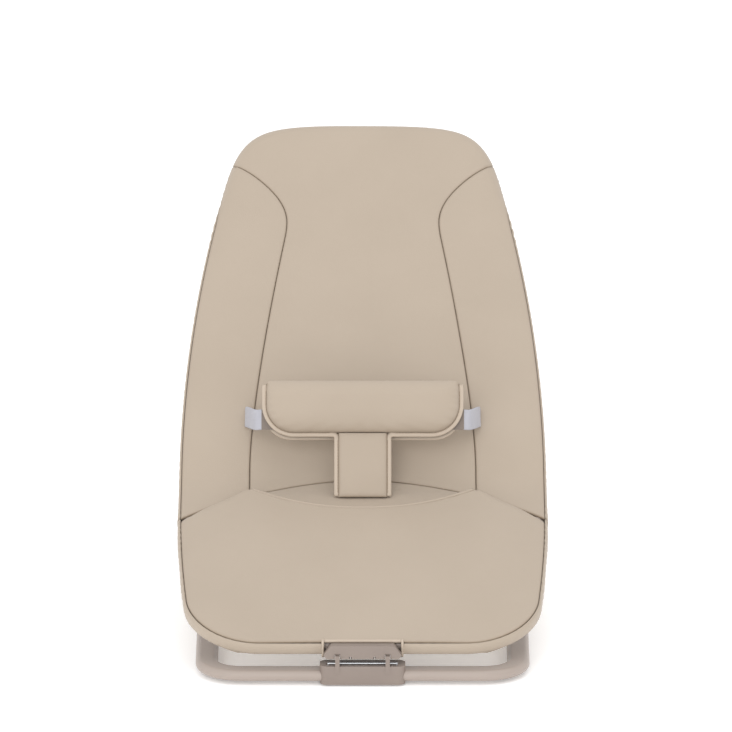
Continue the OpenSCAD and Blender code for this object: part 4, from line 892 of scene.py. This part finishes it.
# Crotch pad: a flat foam-filled strap, a little crowned
w = ends_dense(CROTCH_L + 6.5, 3.0)[:, None] - 4.5
u = (2 * across(CROTCH_W - 11, 3.0) - 1)[None, :]
x = u * (CROTCH_W / 2 - 5.4) + 0 * w
w = w + 0 * x
side_gap = CROTCH_W / 2 - 5.4 - np.abs(x)
crown = 2.6 + 2.6 * round_rise(side_gap / 14) * round_rise((w + 5) / 7) * round_rise((CROTCH_L - w + 4) / 12)
crown = crown + waviness(x, w, 0.7, 30.0, 16.0) * smooth(side_gap / 8)
closed_pad("crotch_strap", "crotch_pad", crotch_point(x, -crown, w), crotch_point(x, 3.4 + 0 * x, w),
           leathercloth,
           np.exp(-np.minimum(side_gap, w + 4.5) / 1.1))

# Binding strips: down each side of the roll, along its lower edge and on down the crotch pad
BINDING_R, BINDING_T = 3.2, 2.0
half_edge = pad_edge(PAD_W, PAD_H, 1.9)
half_edge = half_edge[half_edge[:, 0] < -CROTCH_W / 2 - 1.5]
upper = pad_point(half_edge[:, 0], 0.4, half_edge[:, 1] + PAD_TOP_Z)
turn = np.radians(np.arange(12, 90, 12))
bend = pad_point(-CROTCH_W / 2 - 1.4 + 4.4 * np.sin(turn), 0.4,
                 PAD_TOP_Z - PAD_H - 1.9 - 4.4 * (1 - np.cos(turn)))
fall = np.linspace(CROTCH_L - 6.5, -3.5, 34)
lower = crotch_point(-CROTCH_W / 2 + 3.0, -0.2, fall)
left_path = spaced(np.vstack([upper, bend, lower]), 2.0 * MM)
paths = [left_path, left_path * (-1, 1, 1)]


def bound_edge(name, some_paths, wide, high):
    parts = [cord_rings(path, (wide, high), sides=14, up=PAD_REAR) for path in some_paths]
    points, faces = joined(parts)
    made = mesh_piece(name, points, faces, binding_cloth)
    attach(made, "restraint")
    return made


bound_edge("waist_and_crotch_binding", paths, BINDING_R, BINDING_T)
flap_line = pad_edge(FLAP_W, FLAP_H, 0.4)
flap_line = np.vstack([flap_line, flap_line[-2::-1] * (-1, 1)])
bound_edge("flap_binding", [pad_point(flap_line[:, 0], FLAP_Y + 0.4, flap_line[:, 1] + PAD_TOP_Z - 0.6)],
           2.6, 2.0)

# Stitching: bonded polyester thread, a lockstitch along the inner side of each binding
STITCH, STITCH_PITCH, THREAD_R = 2.7, 3.6, 0.36
thread_fibre, tree, place = new_material("bonded_polyester_thread")
# Twisted filaments under a wax bond: a fine silky gloss on a slightly darker tone than the hide
twist = add_node(tree, "ShaderNodeTexNoise", sockets={"Scale": 1 / (0.6 * MM), "Detail": 2.0},
                 links={"Vector": (place, "Object")})
gloss = add_node(tree, "ShaderNodeMapRange", sockets={"To Min": 0.4, "To Max": 0.55},
                 links={"Value": (twist, "Fac")})
finish_material(tree, add_node(tree, "ShaderNodeBsdfPrincipled", sockets={
    "Base Color": linear("#A8957F"), "IOR": 1.57}, links={"Roughness": (gloss, "Result")}))


def stitches(name, lines, up, body):
    """Short raised stitches along lines that already lie on the surface."""
    parts = []
    for line in lines:
        run = np.r_[0, np.cumsum(np.linalg.norm(np.diff(line, axis=0), axis=1))]
        for start in np.arange(0.002, run[-1] - 0.003, STITCH_PITCH * MM):
            at = start + STITCH * MM * np.array([0, 0.15, 0.5, 0.85, 1.0])
            spot = np.stack([np.interp(at, run, line[:, k]) for k in range(3)], -1)
            spot = spot - np.asarray(up) * (np.array([-0.25, 0.15, 0.3, 0.15, -0.25]) * MM)[:, None]
            parts.append(cord_rings(spot, (THREAD_R, THREAD_R), sides=6, up=up))
    points, faces = joined(parts)
    made = mesh_piece(name, points, faces, thread_fibre)
    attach(made, body)
    return made


inner = pad_edge(PAD_W, PAD_H, 0.4)
inner = inner[(inner[:, 0] < -CROTCH_W / 2 - 3) & (inner[:, 1] < -10)]
seam_line = pad_point(inner[:, 0], -1.5, inner[:, 1] + PAD_TOP_Z)
fall_line = crotch_point(-CROTCH_W / 2 + 4.4, -2.0, np.linspace(CROTCH_L - 5, -2, 40))
stitches("waist_pad_stitches", [seam_line, seam_line * (-1, 1, 1), fall_line, fall_line * (-1, 1, 1)],
         PAD_REAR, "restraint")

# ---------------------------------------------------------------- waist straps
# Woven polyester webbing: from the slide behind the back, out through a slot at the bolster's seam
# and round to the pad's tunnel.
WEAVE_MM = 1.9  # pitch of the weave's ribs, drawn about twice as coarse so that it shows
woven_webbing, tree, place = new_material("woven_polyester_webbing")
# Ribs of warp threads run along the strap, and give it a faint striped sheen
thread = add_node(tree, "ShaderNodeTexWave", settings={"wave_type": "BANDS", "bands_direction": "DIAGONAL"},
                  sockets={
    "Scale": 1 / (WEAVE_MM * MM) / 6.283, "Distortion": 0.2}, links={"Vector": (place, "Object")})
wear = add_node(tree, "ShaderNodeTexNoise", sockets={"Scale": 80.0, "Detail": 4.0},
                links={"Vector": (place, "Object")})
tone = add_node(tree, "ShaderNodeMix", settings={"data_type": "RGBA"}, sockets={
    6: linear("#AAAAB2"), 7: linear("#B6B6BE")}, links={"Factor": (wear, "Fac")})
relief = add_node(tree, "ShaderNodeBump", sockets={"Strength": 0.4, "Distance": 0.0003},
                  links={"Height": (thread, "Fac")})
finish_material(tree, add_node(tree, "ShaderNodeBsdfPrincipled", sockets={
    "Roughness": 0.6, "IOR": 1.57, "Sheen Weight": 0.2, "Sheen Roughness": 0.4}, links={
    "Base Color": (tone, 2), "Normal": (relief, "Normal")}))


def rounded_path(points, passes):
    """Cuts a path's corners again and again until it bends smoothly."""
    points = np.asarray(points, float)
    for _ in range(passes):
        mids = np.stack([points[:-1] * 0.75 + points[1:] * 0.25, points[:-1] * 0.25 + points[1:] * 0.75], 1)
        points = np.vstack([points[:1], mids.reshape(-1, 3)[1:-1], points[-1:]])
    return points


slot_s = LEG_L + SLOT_T
strap_route = np.vstack([seat_point(SLOT_X + np.array([0, 0, 0, 1.5, 2.5]), slot_s,
                                    np.array([-17.0, -6.0, 8.0, 18.0, 26.0])),
                         pad_point(np.array([133.0, 125.0, 117.0, 104.0]), np.array([14.0, 8.6, 7.6, 7.6]),
                                   np.array([-14.5, -14.0, -14.0, -14.0]))])
strap_route = spaced(rounded_path(strap_route, 3), 1.5 * MM)
share = smooth(np.linspace(-0.2, 1.1, len(strap_route)))[:, None]
back_up = np.array([0, math.cos(BACK_ANGLE), math.sin(BACK_ANGLE)])
wide_way = back_up * (1 - share) + np.array([0, PAD_UP[0], PAD_UP[1]]) * share
along = np.gradient(strap_route, axis=0)
along /= np.linalg.norm(along, axis=1)[:, None]
wide_way -= along * (wide_way * along).sum(1)[:, None]
wide_way /= np.linalg.norm(wide_way, axis=1)[:, None]
thin_way = np.cross(along, wide_way)
place_across = np.linspace(-1, 1, 25)
rib = 0.12 * np.cos(place_across * math.pi * 12) - 0.35 * np.abs(place_across) ** 12
outline = np.vstack([np.stack([place_across * WEBBING_W / 2, WEBBING_T / 2 + rib], -1),
                     np.stack([place_across[::-1] * WEBBING_W / 2, -WEBBING_T / 2 - rib[::-1]], -1)]) * MM
strap_rings = (strap_route[:, None] + wide_way[:, None] * outline[None, :, :1]
               + thin_way[:, None] * outline[None, :, 1:])
for name, node, side in (("waist_webbing_left", "waist_strap_left", -1),
                         ("waist_webbing_right", "waist_strap_right", 1)):
    points, faces = skin_over(strap_rings * (side, 1, 1))
    strap = mesh_piece(name, points, faces, woven_webbing)
    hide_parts(node)
    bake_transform(strap)

# ---------------------------------------------------------------- latch and buckle springs
# Coil springs of hard-drawn wire, which press the brake on to the track and lift the buckle's button.


def coil(name, node, body, axis, radius, wire, turns):
    """A coil along an axis, in place of a plain CAD sleeve, that closes up towards one end."""
    low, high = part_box(node)
    centre = (np.array(low) + np.array(high)) / 2
    axis = np.array(axis, float) / np.linalg.norm(axis)
    corners = np.array([v.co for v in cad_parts[node].data.vertices]) @ axis
    length = float(corners.max() - corners.min()) - wire * MM
    aside = np.array([1.0, 0, 0])
    aside -= axis * (aside @ axis)
    aside /= np.linalg.norm(aside)
    across_ = np.cross(axis, aside)
    t = np.linspace(0, 1, int(turns * 20))
    ends = np.clip((t - 0.12) / 0.76, 0, 1)
    angle = 2 * math.pi * turns * t
    path = (centre + (ends - 0.5)[:, None] * length * axis
            + radius * MM * (np.cos(angle)[:, None] * aside + np.sin(angle)[:, None] * across_))
    points, faces = skin_over(cord_rings(path, (wire / 2, wire / 2), sides=8, up=axis))
    made = mesh_piece(name, points, faces, zinc_plate)
    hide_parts(node)
    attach(made, body)
    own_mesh(made)
    return made


coil("latch_coil", "latch_spring", "slider", (0, 0.7632, -0.6461), 5.2, 0.9, 4.5)
coil("button_coil", "buckle_spring", "restraint", (0, PAD_UP[0], PAD_UP[1]), 1.4, 0.5,
     5.5)
